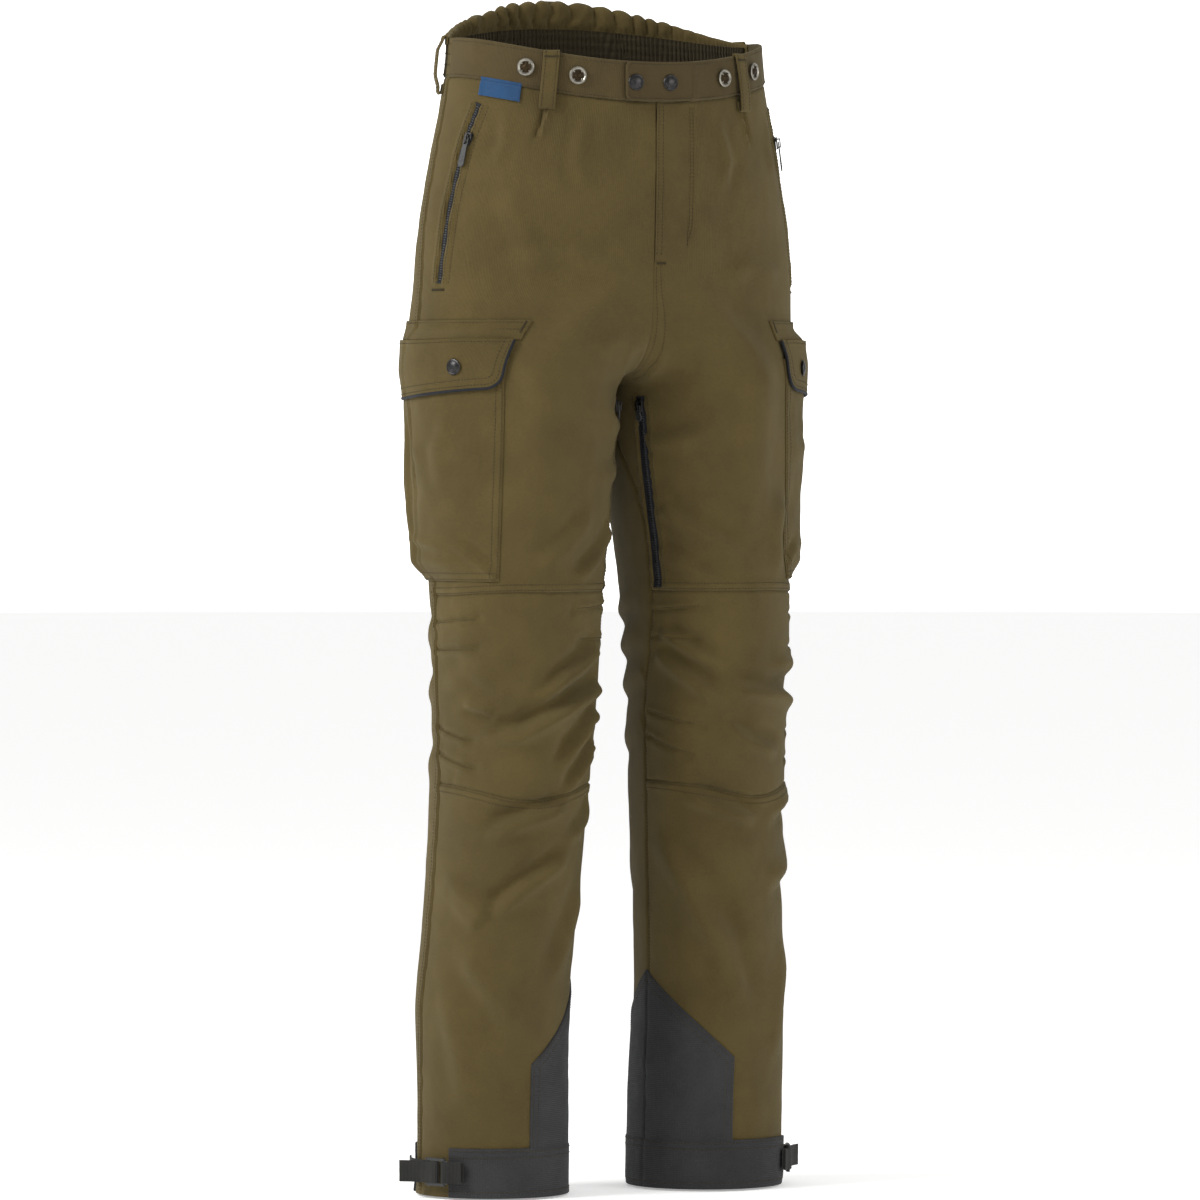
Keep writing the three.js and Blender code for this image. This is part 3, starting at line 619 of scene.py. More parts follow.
def rounded(width: float, thick: float, corner: float, steps: int = 3) -> Array:
    """The outline of a strap: a rectangle with rounded corners, standing on its underside."""
    turns = np.radians(np.linspace(0, 90, steps))
    quarter = np.stack([np.cos(turns), np.sin(turns)], -1) * corner
    places = [(width / 2 - corner, thick - corner), (-width / 2 + corner, thick - corner),
              (-width / 2 + corner, corner), (width / 2 - corner, corner)]
    parts = []
    for k, place in enumerate(places):
        c, s = math.cos(math.pi / 2 * k), math.sin(math.pi / 2 * k)
        parts.append(quarter @ np.array([[c, s], [-s, c]]) + place)
    return np.concatenate(parts)


def ring(radius: float, steps: int = 8, flatten: float = 1.0) -> Array:
    """The outline of a round cord, or an oval one where flatten is below 1."""
    t = np.linspace(0, 2 * math.pi, steps, endpoint=False)
    return np.stack([np.cos(t) * radius, np.sin(t) * radius * flatten], -1)


@dataclass(frozen=True)
class Pose:
    """A place on the garment: an origin in millimetres and the local axes across, along and outwards."""

    origin: Array
    across: Array
    along: Array
    out: Array

    @staticmethod
    def at(origin: Array, along: Array, out: Array) -> "Pose":
        """A place whose outward axis is made square to its along axis."""
        along = unit(np.asarray(along, float))
        across = unit(np.cross(along, out))
        return Pose(np.asarray(origin, float), across, along, np.cross(across, along))

    def place(self, patch: Patch) -> Patch:
        """A surface drawn in local axes, put in its place and facing out."""
        basis = np.stack([self.across, self.along, self.out])
        return outward_facing(Patch(patch.points @ basis + self.origin, patch.quads, patch.flat, patch.index))

    def point(self, x: float, y: float, z: float) -> Array:
        """A local point in garment axes."""
        return self.origin + x * self.across + y * self.along + z * self.out


def turned(profile: list[tuple[float, float]], steps: int = 28) -> Patch:
    """A profile of radius and height spun round the outward axis; its ends are closed on the axis."""
    p = np.array(profile, float)
    t = np.linspace(0, 2 * math.pi, steps, endpoint=False)
    points = np.stack([p[:, None, 0] * np.cos(t), p[:, None, 0] * np.sin(t), np.repeat(p[:, 1:], steps, 1)], -1)
    quads = ring_quads(len(p), steps)
    return welded(Patch(points.reshape(-1, 3), quads, points[..., :2].reshape(-1, 2), np.zeros(len(quads), int)))


def slab(outline: Array, low: float, high: float, edge: float = 0.4) -> Patch:
    """A plate with softened edges: one outline, drawn in a little at the two faces and closed at its middle."""
    middle = outline.mean(0)
    inward = unit(middle - outline) * edge
    rings = [(outline * 0 + middle, low), (outline + inward, low), (outline, low + edge), (outline, high - edge),
             (outline + inward, high), (outline * 0 + middle, high)]
    points = np.concatenate([np.c_[r, np.full(len(r), h)] for r, h in rings])
    quads = ring_quads(len(rings), len(outline))
    return welded(Patch(points, quads, points[:, :2], np.zeros(len(quads), int)))


def bar(x0: float, x1: float, y0: float, y1: float, z0: float, z1: float, edge: float = 0.35) -> Patch:
    """A moulded or stamped block with softened edges."""
    width, length = x1 - x0, y1 - y0
    corner = min(edge * 2, width * 0.45, length * 0.45)
    outline = rounded(width, length, corner) + np.array([(x0 + x1) / 2, y0])
    return slab(outline, z0, z1, min(edge, (z1 - z0) * 0.4))


def lattice(length: float, step: float, fine: float, reach: float, places: tuple[float, ...] = (0.0, 1.0)) -> Array:
    """Shares 0..1 of a length, closer together near some places.

    Args:
        length: the length in millimetres.
        step: spacing far from the places.
        fine: spacing at the places.
        reach: how far the fine spacing lasts.
        places: shares of the length.

    Returns:
        Rising shares: the inverse of the summed density of points.
    """
    x = np.linspace(0, 1, 4001)
    density = np.full(x.shape, 1 / step)
    for place in places:
        density += (1 / fine - 1 / step) * np.exp(-((np.abs(x - place) * length / reach) ** 4))
    count = np.r_[0, np.cumsum((density[1:] + density[:-1]) / 2 * length / 4000)]
    n = max(2, int(round(count[-1])))
    return np.interp(np.linspace(0, count[-1], n + 1), count, x)


# ------------------------------------------------------------------ finishes
def linear(colour: str) -> tuple[float, float, float, float]:
    """An sRGB hex colour as linear light with full opacity."""
    parts = [int(colour[i:i + 2], 16) / 255 for i in (1, 3, 5)]
    parts = [p / 12.92 if p <= 0.04045 else ((p + 0.055) / 1.055) ** 2.4 for p in parts]
    return parts[0], parts[1], parts[2], 1.0


def add_node(tree: bpy.types.NodeTree, kind: str, settings: dict | None = None,
             links: dict | None = None) -> bpy.types.Node:
    """Adds a node, sets its fields and sockets and links its inputs.

    Args:
        tree: the material's node tree.
        kind: the node's type.
        settings: fields and input sockets by name or number.
        links: output sockets by input name or number.

    Returns:
        The node.
    """
    node = tree.nodes.new(kind)
    for name, value in (settings or {}).items():
        if isinstance(name, str) and hasattr(node, name):
            setattr(node, name, value)
        else:
            node.inputs[name].default_value = value
    for name, socket in (links or {}).items():
        tree.links.new(socket, node.inputs[name])
    return node


class Weave(Enum):
    """How a cloth's threads cross."""

    TIGHT = "tight plain weave"
    COARSE = "coarse basket weave"
    RIBBED = "ribs across a tape"
    FELT = "loose fibres"


@dataclass(frozen=True)
class ClothFinish:
    """A woven finish.

    Attributes:
        name: what it is.
        base: the thread's colour.
        worn: the colour where it is rubbed or catches dust.
        weave: how the threads cross.
        thread: thread spacing in millimetres.
        rough: roughness.
        sheen: strength of the fuzz seen at grazing angles.
        relief: height of the weave's bump.
        spread: how far the two colours mix over the cloth.
    """

    name: str
    base: str
    worn: str
    weave: Weave
    thread: float
    rough: float = 0.9
    sheen: float = 0.3
    relief: float = 0.25
    spread: float = 0.5
    tint: str = "#b8b090"

    def build(self) -> bpy.types.Material:
        """The material: mottled thread colour, weave height from two crossed waves, and a fuzzy sheen."""
        material = bpy.data.materials.new(self.name)
        material.use_nodes = True
        tree = material.node_tree
        tree.nodes.clear()
        coat = tree.nodes.new("ShaderNodeBsdfPrincipled")
        end = tree.nodes.new("ShaderNodeOutputMaterial")
        tree.links.new(coat.outputs[0], end.inputs[0])
        flat = add_node(tree, "ShaderNodeUVMap", {"uv_map": "cloth"})
        place = add_node(tree, "ShaderNodeTexCoord")
        mottle = add_node(tree, "ShaderNodeTexNoise", {"Scale": 16.0, "Detail": 6.0, "Roughness": 0.62},
                          {"Vector": place.outputs["Object"]})
        slub = add_node(tree, "ShaderNodeTexNoise", {"Scale": 0.42, "Detail": 3.0, "Roughness": 0.7},
                        {"Vector": flat.outputs[0]})
        both = add_node(tree, "ShaderNodeMath", {"operation": "MULTIPLY_ADD", 1: 0.55},
                        {0: slub.outputs[0], 2: mottle.outputs[0]})
        span = add_node(tree, "ShaderNodeMapRange",
                        {"From Min": 0.55, "From Max": 1.0, "To Min": 0.0, "To Max": self.spread}, {0: both.outputs[0]})
        colour = add_node(tree, "ShaderNodeMix", {"data_type": "RGBA"}, {0: span.outputs[0]})
        colour.inputs[6].default_value = linear(self.base)
        colour.inputs[7].default_value = linear(self.worn)
        tree.links.new(colour.outputs[2], coat.inputs["Base Color"])
        height = self._height(tree, flat.outputs[0])
        bump = add_node(tree, "ShaderNodeBump", {"Strength": min(1.0, self.relief * 2), "Distance": 0.0004},
                        {"Height": height})
        tree.links.new(bump.outputs[0], coat.inputs["Normal"])
        coat.inputs["Roughness"].default_value = self.rough
        coat.inputs["Sheen Weight"].default_value = self.sheen
        coat.inputs["Sheen Roughness"].default_value = 0.45
        coat.inputs["Sheen Tint"].default_value = linear(self.tint)
        coat.inputs["Specular IOR Level"].default_value = 0.25
        return material

    def _height(self, tree: bpy.types.NodeTree, flat: bpy.types.NodeSocket) -> bpy.types.NodeSocket:
        """The weave's height: waves along the warp times waves along the weft, or fibres."""
        if self.weave is Weave.FELT:
            return add_node(tree, "ShaderNodeTexNoise", {"Scale": 1.2, "Detail": 8.0}, {"Vector": flat}).outputs[0]
        scale = 0.314 / self.thread  # a wave texture's period is a fiftieth of pi over its scale
        warp = add_node(tree, "ShaderNodeTexWave", {"bands_direction": "X", "Scale": scale, "Distortion": 0.6,
                                                    "Detail": 1.0}, {"Vector": flat})
        weft = add_node(tree, "ShaderNodeTexWave", {"bands_direction": "Y", "Scale": scale, "Distortion": 0.6,
                                                    "Detail": 1.0}, {"Vector": flat})
        if self.weave is Weave.RIBBED:
            return weft.outputs["Fac"]
        kind = "MULTIPLY" if self.weave is Weave.COARSE else "ADD"
        return add_node(tree, "ShaderNodeMath", {"operation": kind},
                        {0: warp.outputs["Fac"], 1: weft.outputs["Fac"]}).outputs[0]


@dataclass(frozen=True)
class HardFinish:
    """Metal or moulded plastic.

    Attributes:
        name: what it is and how its surface was made.
        base: its colour.
        worn: the colour of rubbed places.
        metal: 1 for a metal.
        rough: roughness.
        grain: size of the surface's grain in millimetres.
    """

    name: str
    base: str
    worn: str
    metal: float
    rough: float
    grain: float = 0.6

    def build(self) -> bpy.types.Material:
        """The material: faint mottling of colour and roughness, and a fine grain."""
        material = bpy.data.materials.new(self.name)
        material.use_nodes = True
        tree = material.node_tree
        tree.nodes.clear()
        coat = tree.nodes.new("ShaderNodeBsdfPrincipled")
        end = tree.nodes.new("ShaderNodeOutputMaterial")
        tree.links.new(coat.outputs[0], end.inputs[0])
        place = add_node(tree, "ShaderNodeTexCoord")
        grain = add_node(tree, "ShaderNodeTexNoise", {"Scale": 1000 / self.grain / 4, "Detail": 4.0},
                         {"Vector": place.outputs["Object"]})
        span = add_node(tree, "ShaderNodeMapRange", {"From Min": 0.4, "From Max": 0.7, "To Max": 0.6},
                        {0: grain.outputs[0]})
        colour = add_node(tree, "ShaderNodeMix", {"data_type": "RGBA"}, {0: span.outputs[0]})
        colour.inputs[6].default_value = linear(self.base)
        colour.inputs[7].default_value = linear(self.worn)
        tree.links.new(colour.outputs[2], coat.inputs["Base Color"])
        rough = add_node(tree, "ShaderNodeMapRange",
                         {"To Min": self.rough * 0.85, "To Max": min(1.0, self.rough * 1.2)}, {0: grain.outputs[0]})
        tree.links.new(rough.outputs[0], coat.inputs["Roughness"])
        bump = add_node(tree, "ShaderNodeBump", {"Strength": 0.15, "Distance": 0.0001}, {"Height": grain.outputs[0]})
        tree.links.new(bump.outputs[0], coat.inputs["Normal"])
        coat.inputs["Metallic"].default_value = self.metal
        return material


class Look(Enum):
    """Each finish on the trousers."""

    SHELL = ClothFinish("olive_cotton_polyester", "#463a1c", "#5f512b", Weave.TIGHT, 0.9, 0.88, 0.22, 0.3)
    SATIN = ClothFinish("olive_band_cotton", "#3e3219", "#514424", Weave.TIGHT, 0.9, 0.8, 0.22, 0.3)
    LINING = ClothFinish("dark_olive_lining", "#3a3220", "#4f452d", Weave.TIGHT, 0.7, 0.85, 0.3, 0.2)
    CHARCOAL = ClothFinish("charcoal_abrasion_cloth", "#252526", "#3a3a3b", Weave.COARSE, 1.8, 0.82, 0.15, 0.6, 0.6,
                           "#a0a0a4")
    ELASTIC = ClothFinish("dark_gathered_elastic", "#241d0e", "#3a301a", Weave.RIBBED, 1.2, 0.9, 0.3, 0.5)
    PAD = ClothFinish("cut_resistant_fibre", "#c9c4b0", "#e2decd", Weave.FELT, 1.0, 1.0, 0.4, 0.5)
    TAPE = ClothFinish("black_zip_tape", "#0f1013", "#24262b", Weave.RIBBED, 0.9, 0.7, 0.2, 0.4, 0.6, "#8a8c92")
    WEBBING = ClothFinish("black_webbing", "#141412", "#2c2b28", Weave.RIBBED, 1.4, 0.75, 0.25, 0.7, 0.6, "#8a8a84")
    # the thread is coloured darker than the cloth: its own olive with painted shade added, standing for the shadow
    # where stitches sink into the cloth
    THREAD = ClothFinish("olive_sewing_thread", "#2c2410", "#42371d", Weave.RIBBED, 0.6, 0.65, 0.1, 0.2)
    LABEL = ClothFinish("blue_woven_label", "#16385a", "#234c75", Weave.TIGHT, 0.6, 0.7, 0.3, 0.3, 0.6, "#a8c4e0")
    COIL = HardFinish("moulded_coil", "#101114", "#2b2d32", 0.0, 0.4)
    GUNMETAL = HardFinish("gunmetal_plate", "#302f2f", "#4d4c4b", 1.0, 0.36)
    NICKEL = HardFinish("bright_nickel", "#8b877d", "#b3aea2", 1.0, 0.3)
    BRONZE = HardFinish("aged_bronze", "#2c2419", "#4c4130", 1.0, 0.5)
    PLASTIC = HardFinish("moulded_acetal", "#1d1e1d", "#2f312f", 0.0, 0.42)


MADE: dict[Look, bpy.types.Material] = {}


def material_of(look: Look) -> bpy.types.Material:
    """The finish's material, built once."""
    if look not in MADE:
        MADE[look] = look.value.build()
    return MADE[look]


@dataclass(frozen=True)
class Piece:
    """How a finished mesh joins the frame."""

    name: str
    looks: tuple[Look, ...]
    slot: str
    body: str = "root"
    stands_for: tuple[str, ...] = ()
    sharp: float = 50.0

    def make(self, *patches: Patch) -> bpy.types.Object:
        """Writes the surfaces into one mesh, in metres from the waist, parents it to its body and hides the parts it
        stands for.
        """
        counts = np.cumsum([0] + [len(p.points) for p in patches])
        points = np.concatenate([p.points for p in patches])
        quads = np.concatenate([p.quads + c for p, c in zip(patches, counts)])
        flat = np.concatenate([p.flat for p in patches])
        index = np.concatenate([p.index for p in patches])
        points = (points - np.array([0, 0, WAIST_Z])) / 1000
        real = quads != np.roll(quads, -1, axis=1)  # a corner at a pole is named twice
        whole = real.sum(1) >= 3
        quads, real, index = quads[whole], real[whole], index[whole]
        corners, sizes = quads[real], real.sum(1)
        mesh = bpy.data.meshes.new(self.name)
        mesh.vertices.add(len(points))
        mesh.vertices.foreach_set("co", points.astype(np.float32).ravel())
        mesh.loops.add(len(corners))
        mesh.loops.foreach_set("vertex_index", corners.astype(np.int32))
        mesh.polygons.add(len(quads))
        mesh.polygons.foreach_set("loop_start", (np.cumsum(sizes) - sizes).astype(np.int32))
        mesh.polygons.foreach_set("loop_total", sizes.astype(np.int32))
        mesh.polygons.foreach_set("material_index", np.minimum(index, len(self.looks) - 1).astype(np.int32))
        layer = mesh.uv_layers.new(name="cloth")
        layer.data.foreach_set("uv", flat[corners].astype(np.float32).ravel())
        mesh.update(calc_edges=True)
        mesh.validate(clean_customdata=False)
        mesh.shade_smooth()
        mesh.set_sharp_from_angle(angle=math.radians(self.sharp))
        for look in self.looks:
            mesh.materials.append(material_of(look))
        thing = bpy.data.objects.new(self.name, mesh)
        bpy.context.scene.collection.objects.link(thing)
        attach(thing, self.body)
        if self.stands_for:
            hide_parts(*self.stands_for)
        LOG.info("%s: %d faces on %s", self.name, len(quads), self.body)
        return thing


# ------------------------------------------------------------------ stitching
@dataclass
class Stitching:
    """Rows of short threads on one body, gathered from every seam and written as one mesh.

    Attributes:
        pitch: distance from one stitch to the next.
        length: visible length of a stitch.
        width: half the thread's width.
    """

    pitch: float = 3.3
    length: float = 2.5
    width: float = 0.36
    patches: list[Patch] = field(default_factory=list)

    def row(self, surface: Callable, path: Path, shift: float = 0.0, start: float = 0.0, stop: float = 1.0) -> None:
        """Sews along a line.

        Args:
            surface: gives points for angles and heights.
            path: the line's corners, as angle and height.
            shift: distance of the row from the line, to the left of its direction.
            start: share of the line where the row starts.
            stop: share where it ends.
        """
        corners = np.array(path, float)
        speed = arc_speed(corners[:, 0], corners[:, 1])
        centre = corners[:, 0].mean()
        flat = np.stack([(corners[:, 0] - centre) * speed, corners[:, 1]], -1)
        s = np.r_[0, np.cumsum(np.linalg.norm(np.diff(flat, axis=0), axis=1))]
        dense = np.linspace(start * s[-1], stop * s[-1], max(6, int(s[-1] * (stop - start) / 0.9)))
        x, y = (np.interp(dense, s, flat[:, k]) for k in (0, 1))
        way = unit(np.stack([np.gradient(x), np.gradient(y)], -1))
        x, y = x - shift * way[:, 1], y + shift * way[:, 0]
        angle = centre + x / np.interp(dense, s, speed)
        self.along(surface(angle, y), surface(angle, y, 1.0))

    def along(self, points: Array, raised: Array) -> None:
        """Sews along points on a surface, given the same points a millimetre off it."""
        s = np.r_[0, np.cumsum(np.linalg.norm(np.diff(points, axis=0), axis=1))]
        if s[-1] < self.pitch:
            return
        centres = np.arange(self.pitch / 2, s[-1], self.pitch)

        def at(q: Array, v: Array) -> Array:
            """Points of a line at lengths along it."""
            return np.stack([np.interp(q, s, v[:, k]) for k in range(3)], -1)

        middle = at(centres, points)
        along = unit(at(centres + 1, points) - at(centres - 1, points))
        out = unit(at(centres, raised) - middle)
        across = np.cross(along, out)
        self.threads(middle, along, out, across, self.length, self.width)

    def threads(self, middle: Array, along: Array, out: Array, across: Array, length: float, width: float) -> None:
        """Adds one small rounded thread at each place: four rings of six points whose ends dive into the cloth."""
        rings = np.array([(-0.5, 0.25, -0.25), (-0.3, 1.0, 0.16), (0.3, 1.0, 0.16), (0.5, 0.25, -0.25)])
        t = np.arange(6) * math.pi / 3
        lx = np.repeat(rings[:, 0] * length, 6)
        ly = (rings[:, 1][:, None] * np.cos(t) * width).ravel()
        lz = (rings[:, 1][:, None] * np.sin(t) * width * 0.8 + rings[:, 2][:, None] * width * 2).ravel()
        points = (middle[:, None] + lx[None, :, None] * along[:, None] + ly[None, :, None] * across[:, None]
                  + lz[None, :, None] * out[:, None])
        caps = np.array([[3, 2, 1, 0], [5, 4, 3, 0], [18, 19, 20, 21], [18, 21, 22, 23]])
        one = np.concatenate([ring_quads(4, 6), caps])
        quads = (one[None] + 24 * np.arange(len(middle))[:, None, None]).reshape(-1, 4)
        flat = np.tile(np.stack([ly, lx], -1), (len(middle), 1))
        patch = Patch(points.reshape(-1, 3), quads, flat, np.zeros(len(quads), int))
        self.patches.append(outward_facing(patch))

    def tack(self, surface: Callable, angle: float, z: float, wide: float, tall: float) -> None:
        """A bar tack: a dense block of threads, wide or tall, at one place on the cloth."""
        count = 12
        speed = float(arc_speed(np.array([angle]), np.array([z]))[0])
        share = np.linspace(-0.5, 0.5, count)
        upright_block = tall > wide
        a = np.full(count, angle) if upright_block else angle + share * wide / speed
        h = z + share * tall if upright_block else np.full(count, z)
        middle, raised = surface(a, h, 0.25), surface(a, h, 1.25)
        out = unit(raised - middle)
        run = unit(np.gradient(middle, axis=0))
        across = np.cross(run, out)
        self.threads(middle, across, out, run, min(wide, tall), 0.55 * max(wide, tall) / count)

    def make(self, name: str, body: str, belongs: Callable[[Array], bool] = lambda middle: True) -> None:
        """Writes the rows whose middle point belongs to a part of the garment as one piece."""
        chosen = [patch for patch in self.patches if belongs(patch.points.mean(0))]
        if chosen:
            # the thread's finish carries painted shade: darkened for stitches sunk into the cloth
            Piece(name, (Look.THREAD,), "shell", body, (), 80.0).make(*chosen)


def on_cloth(side: Side, lift: float = 0.0) -> Callable:
    """The worn cloth as a surface to sew on."""
    return lambda angle, z, out=0.0: GARMENT.cloth(side, angle, z, np.asarray(out) + lift)


ROOT_STITCHES = Stitching()
MM_PER_DEGREE = 1.5  # for the weave's map


def flat_map(angle: Array, z: Array) -> Array:
    """Places on the cloth for the weave."""
    return np.stack([angle * MM_PER_DEGREE, z], -1)


def rim_soften(shape: tuple[int, int], depth: float) -> Array:
    """A grid that is -depth on its outermost points and 0 inside."""
    drop = np.zeros(shape)
    drop[0] = drop[-1] = -depth
    drop[:, 0] = drop[:, -1] = -depth
    return drop


def panel_grid(start: Callable, stop: Callable, low: Callable, high: Callable, u: Array,
               v: Array) -> tuple[Array, Array]:
    """Angles and heights of a panel between two edges that depend on height and two that depend on angle.

    Args:
        start: angle of the first edge for a height.
        stop: angle of the last edge.
        low: height of the bottom edge for an angle.
        high: height of the top edge.
        u: shares of the way round.
        v: shares of the way up.

    Returns:
        Both grids, after enough passes for each to agree with the other.
    """
    u, v = np.meshgrid(u, v)
    z = mix(low(np.array(0.0)), high(np.array(0.0)), v)
    for _ in range(6):
        angle = mix(start(z), stop(z), u)
        z = mix(low(angle), high(angle), v)
    return mix(start(z), stop(z), u), z


def cloth_shell(side: Side, angle: Array, z: Array, out: Array | float = 0.0, thick: float = 2.0,
                keep: Array | None = None) -> Patch:
    """A wall of cloth: the worn surface and the same a thickness further in."""
    outer = GARMENT.cloth(side, angle, z, out)
    inner = outer - GARMENT.outward(side, angle, z) * thick
    return shell(outer, inner, flat_map(angle, z), keep)


@dataclass
class Leg:
    """One leg's panels, patch, hem band and pad.

    Attributes:
        side: the leg.
        step: spacing of the mesh in open cloth.
        fine: spacing at seams.
        kick_top: height of the ankle patch's point.
        kick_corner: height where its slope ends.
        kick_front: angle of its front edge.
        kick_back: angle of its back edge.
    """

    side: Side
    step: float = 3.0
    fine: float = 1.1
    kick_top: float = 205.0
    kick_corner: float = 124.0
    kick_front: float = -5.0
    kick_back: float = -150.0

    def build(self) -> None:
        """Builds every cloth piece of the leg."""
        self.front()
        self.knee_and_shin()
        self.back()
        self.kick_patch()
        self.hem()
        self.pad()
        self.topstitching()

    def topstitching(self) -> None:
        """Double rows beside the leg's seams and single rows on the darts."""
        surface = on_cloth(self.side)
        side_line = upright(constant(SIDE_SEAM), 3, 1034, 40)
        inseam = upright(inner_edge, 3, 745, 40)
        crotch = upright(lambda z: -seam_angle(z), 764, FLY_LOW - 4, 20)
        behind = upright(lambda z: 180 + seam_angle(z), 764, 1046, 30)
        for shift in (2.2, 7.4):
            ROOT_STITCHES.row(surface, side_line, -shift)
            ROOT_STITCHES.row(surface, sampled(knee_top, -64, 91, 30), shift)
            ROOT_STITCHES.row(surface, sampled(knee_low, -76, 91, 30), -shift)
        ROOT_STITCHES.row(surface, inseam, -2.4)
        for shift in (2.4, 7.0):
            ROOT_STITCHES.row(surface, crotch if self.side is Side.LEFT else behind, -shift)
        for dart in DARTS[self.side]:
            ROOT_STITCHES.row(surface, dart.path, 1.6, 0.0, 0.92)

    def front(self) -> None:
        """The front thigh panel; the left one stops at the fly's window."""
        tall = 452.0  # from the knee seam to the band
        u, v = lattice(240, self.step, self.fine, 9), lattice(tall, self.step, self.fine, 9)
        fly_share, fly_foot = 0.13, (FLY_LOW - KNEE_TOP_Z) / tall
        window = self.side is Side.LEFT
        keep = None

        def seam(z: Array) -> Array:
            """The crotch seam up to the fly's foot, and the middle above it."""
            return inner_edge(z) * (z <= FLY_LOW) + 0.0

        if window:
            k, j = int(np.searchsorted(u, fly_share)), int(np.searchsorted(v, fly_foot))
            u[k], v[j] = fly_share, fly_foot
        angle, z = panel_grid(seam, constant(SIDE_SEAM), knee_top, waist_seam, u, v)
        if window:
            edge = np.degrees(np.arcsin(np.clip((FLY_WIDTH - 0.1) / section(1, z), 0, 1)))
            column = mix(mix(seam(z), SIDE_SEAM, fly_share), edge, smooth(z, 790, FLY_LOW - 1))
            angle = np.where(u[None] < fly_share, mix(seam(z), column, u[None] / fly_share),
                             mix(column, SIDE_SEAM, (u[None] - fly_share) / (1 - fly_share)))
            keep = np.ones((len(v) - 1, len(u) - 1), bool)
            keep[j:, :k] = False
        self._panel("front_panel", angle, z, keep)

    def knee_and_shin(self) -> None:
        """The knee panel, with its darts, and the shin panel."""
        u = lattice(225, self.step, self.fine, 9)
        angle, z = panel_grid(inner_edge, constant(SIDE_SEAM), knee_low, knee_top, u, lattice(180, 1.9, self.fine, 9))
        self._panel("knee_panel", angle, z)
        v = lattice(375, self.step, self.fine, 9)
        angle, z = panel_grid(inner_edge, constant(SIDE_SEAM), constant(0), knee_low, u, v)
        self._panel("shin_panel", angle, z)

    def back(self) -> None:
        """The back panel from hem to waist, with closer rows where the crotch turns."""
        u = lattice(250, self.step, self.fine, 8)
        v = lattice(1060, self.step, 1.8, 60, (0.0, 0.745, 1.0))
        angle, z = panel_grid(constant(SIDE_SEAM), back_edge, constant(0), waist_seam, u, v)
        self._panel("back_panel", angle, z)

    def _panel(self, name: str, angle: Array, z: Array, keep: Array | None = None) -> None:
        """Writes one panel with its lining."""
        node = f"{name}_{self.side.word}"
        Piece(node + "_cloth", (Look.SHELL, Look.LINING), "shell", "root", (node,)).make(
            cloth_shell(self.side, angle, z, 0.0, 2.0, keep))

    def kick_patch(self) -> None:
        """The abrasion patch inside the ankle: two slopes from a point on the inseam."""
        seam = -79.0

        def top(a: Array) -> Array:
            """Height of the patch's edge: falling from the point on the inseam to both sides."""
            share = np.where(a > seam, (a - seam) / (self.kick_front - seam), (seam - a) / (seam - self.kick_back))
            return mix(self.kick_top, self.kick_corner, np.clip(share, 0, 1))

        u = lattice(230, 2.4, 0.9, 4, (0.0, (seam - self.kick_back) / (self.kick_front - self.kick_back), 1.0))
        v = lattice(120, 2.4, 0.9, 4)
        angle, z = panel_grid(constant(self.kick_back), constant(self.kick_front), constant(HEM_BAND_Z - 1), top, u, v)
        out = 1.9 + rim_soften(angle.shape, 0.6)
        node = f"kick_patch_{self.side.word}"
        Piece(node + "_cloth", (Look.CHARCOAL, Look.CHARCOAL), "reinforcement", "root", (node,)).make(
            cloth_shell(self.side, angle, z, out, 1.5))
        slopes = sampled(top, self.kick_back, self.kick_front, 24)
        front = ((self.kick_front, HEM_BAND_Z), (self.kick_front, self.kick_corner))
        for line, way, start, stop in ((slopes, -1, 0.01, 0.995), (front, 1, 0.02, 0.95)):
            for inset in (2.2, 8.0):
                ROOT_STITCHES.row(on_cloth(self.side, 1.9), line, way * inset, start, stop)

    def hem(self) -> None:
        """The abrasion band round the hem, open at the outside."""
        u = lattice(420, 2.6, 0.9, 4)
        v = lattice(46, 2.2, 0.8, 3)
        angle, z = panel_grid(constant(121), constant(418), constant(0), constant(HEM_BAND_Z), u, v)
        out = 2.6 + rim_soften(angle.shape, 0.6)
        node = f"hem_band_{self.side.word}"
        angle_here = np.where(angle > 270, angle - 360, angle)
        Piece(node + "_cloth", (Look.CHARCOAL, Look.CHARCOAL), "reinforcement", "root", (node,)).make(
            cloth_shell(self.side, angle_here, z, out, 1.6))
        surface = on_cloth(self.side, 2.6)
        for height in (HEM_BAND_Z - 2.5, HEM_BAND_Z - 8.5, 6.0):
            ROOT_STITCHES.row(surface, sampled(constant(height), -89, 57, 30))
            ROOT_STITCHES.row(surface, sampled(constant(height), 122, 270, 30))

    def pad(self) -> None:
        """The loose fibre pad inside the front of the leg, quilted along its length."""
        u, v = lattice(230, 4.0, 2.0, 6), lattice(675, 5.0, 2.0, 6)
        angle, z = panel_grid(constant(-50), constant(80), constant(62), constant(733), u, v)
        grid_u, grid_v = np.meshgrid(u, v)
        crown = np.minimum(1, 4 * np.sqrt(np.clip(grid_u * (1 - grid_u) * grid_v * (1 - grid_v), 0, 1)) * 2.2)
        quilt = 0.6 * np.cos(grid_u * math.pi * 8) ** 2
        outer = GARMENT.cloth(self.side, angle, z, -6.4 + 2.0 * crown + quilt)
        inner = GARMENT.cloth(self.side, angle, z, -6.4 - 2.0 * crown - quilt)
        node = f"protection_pad_{self.side.word}"
        made = Piece(node + "_fill", (Look.PAD,), "pad", "root", (node,)).make(
            shell(outer, inner, flat_map(angle, z), None, False))


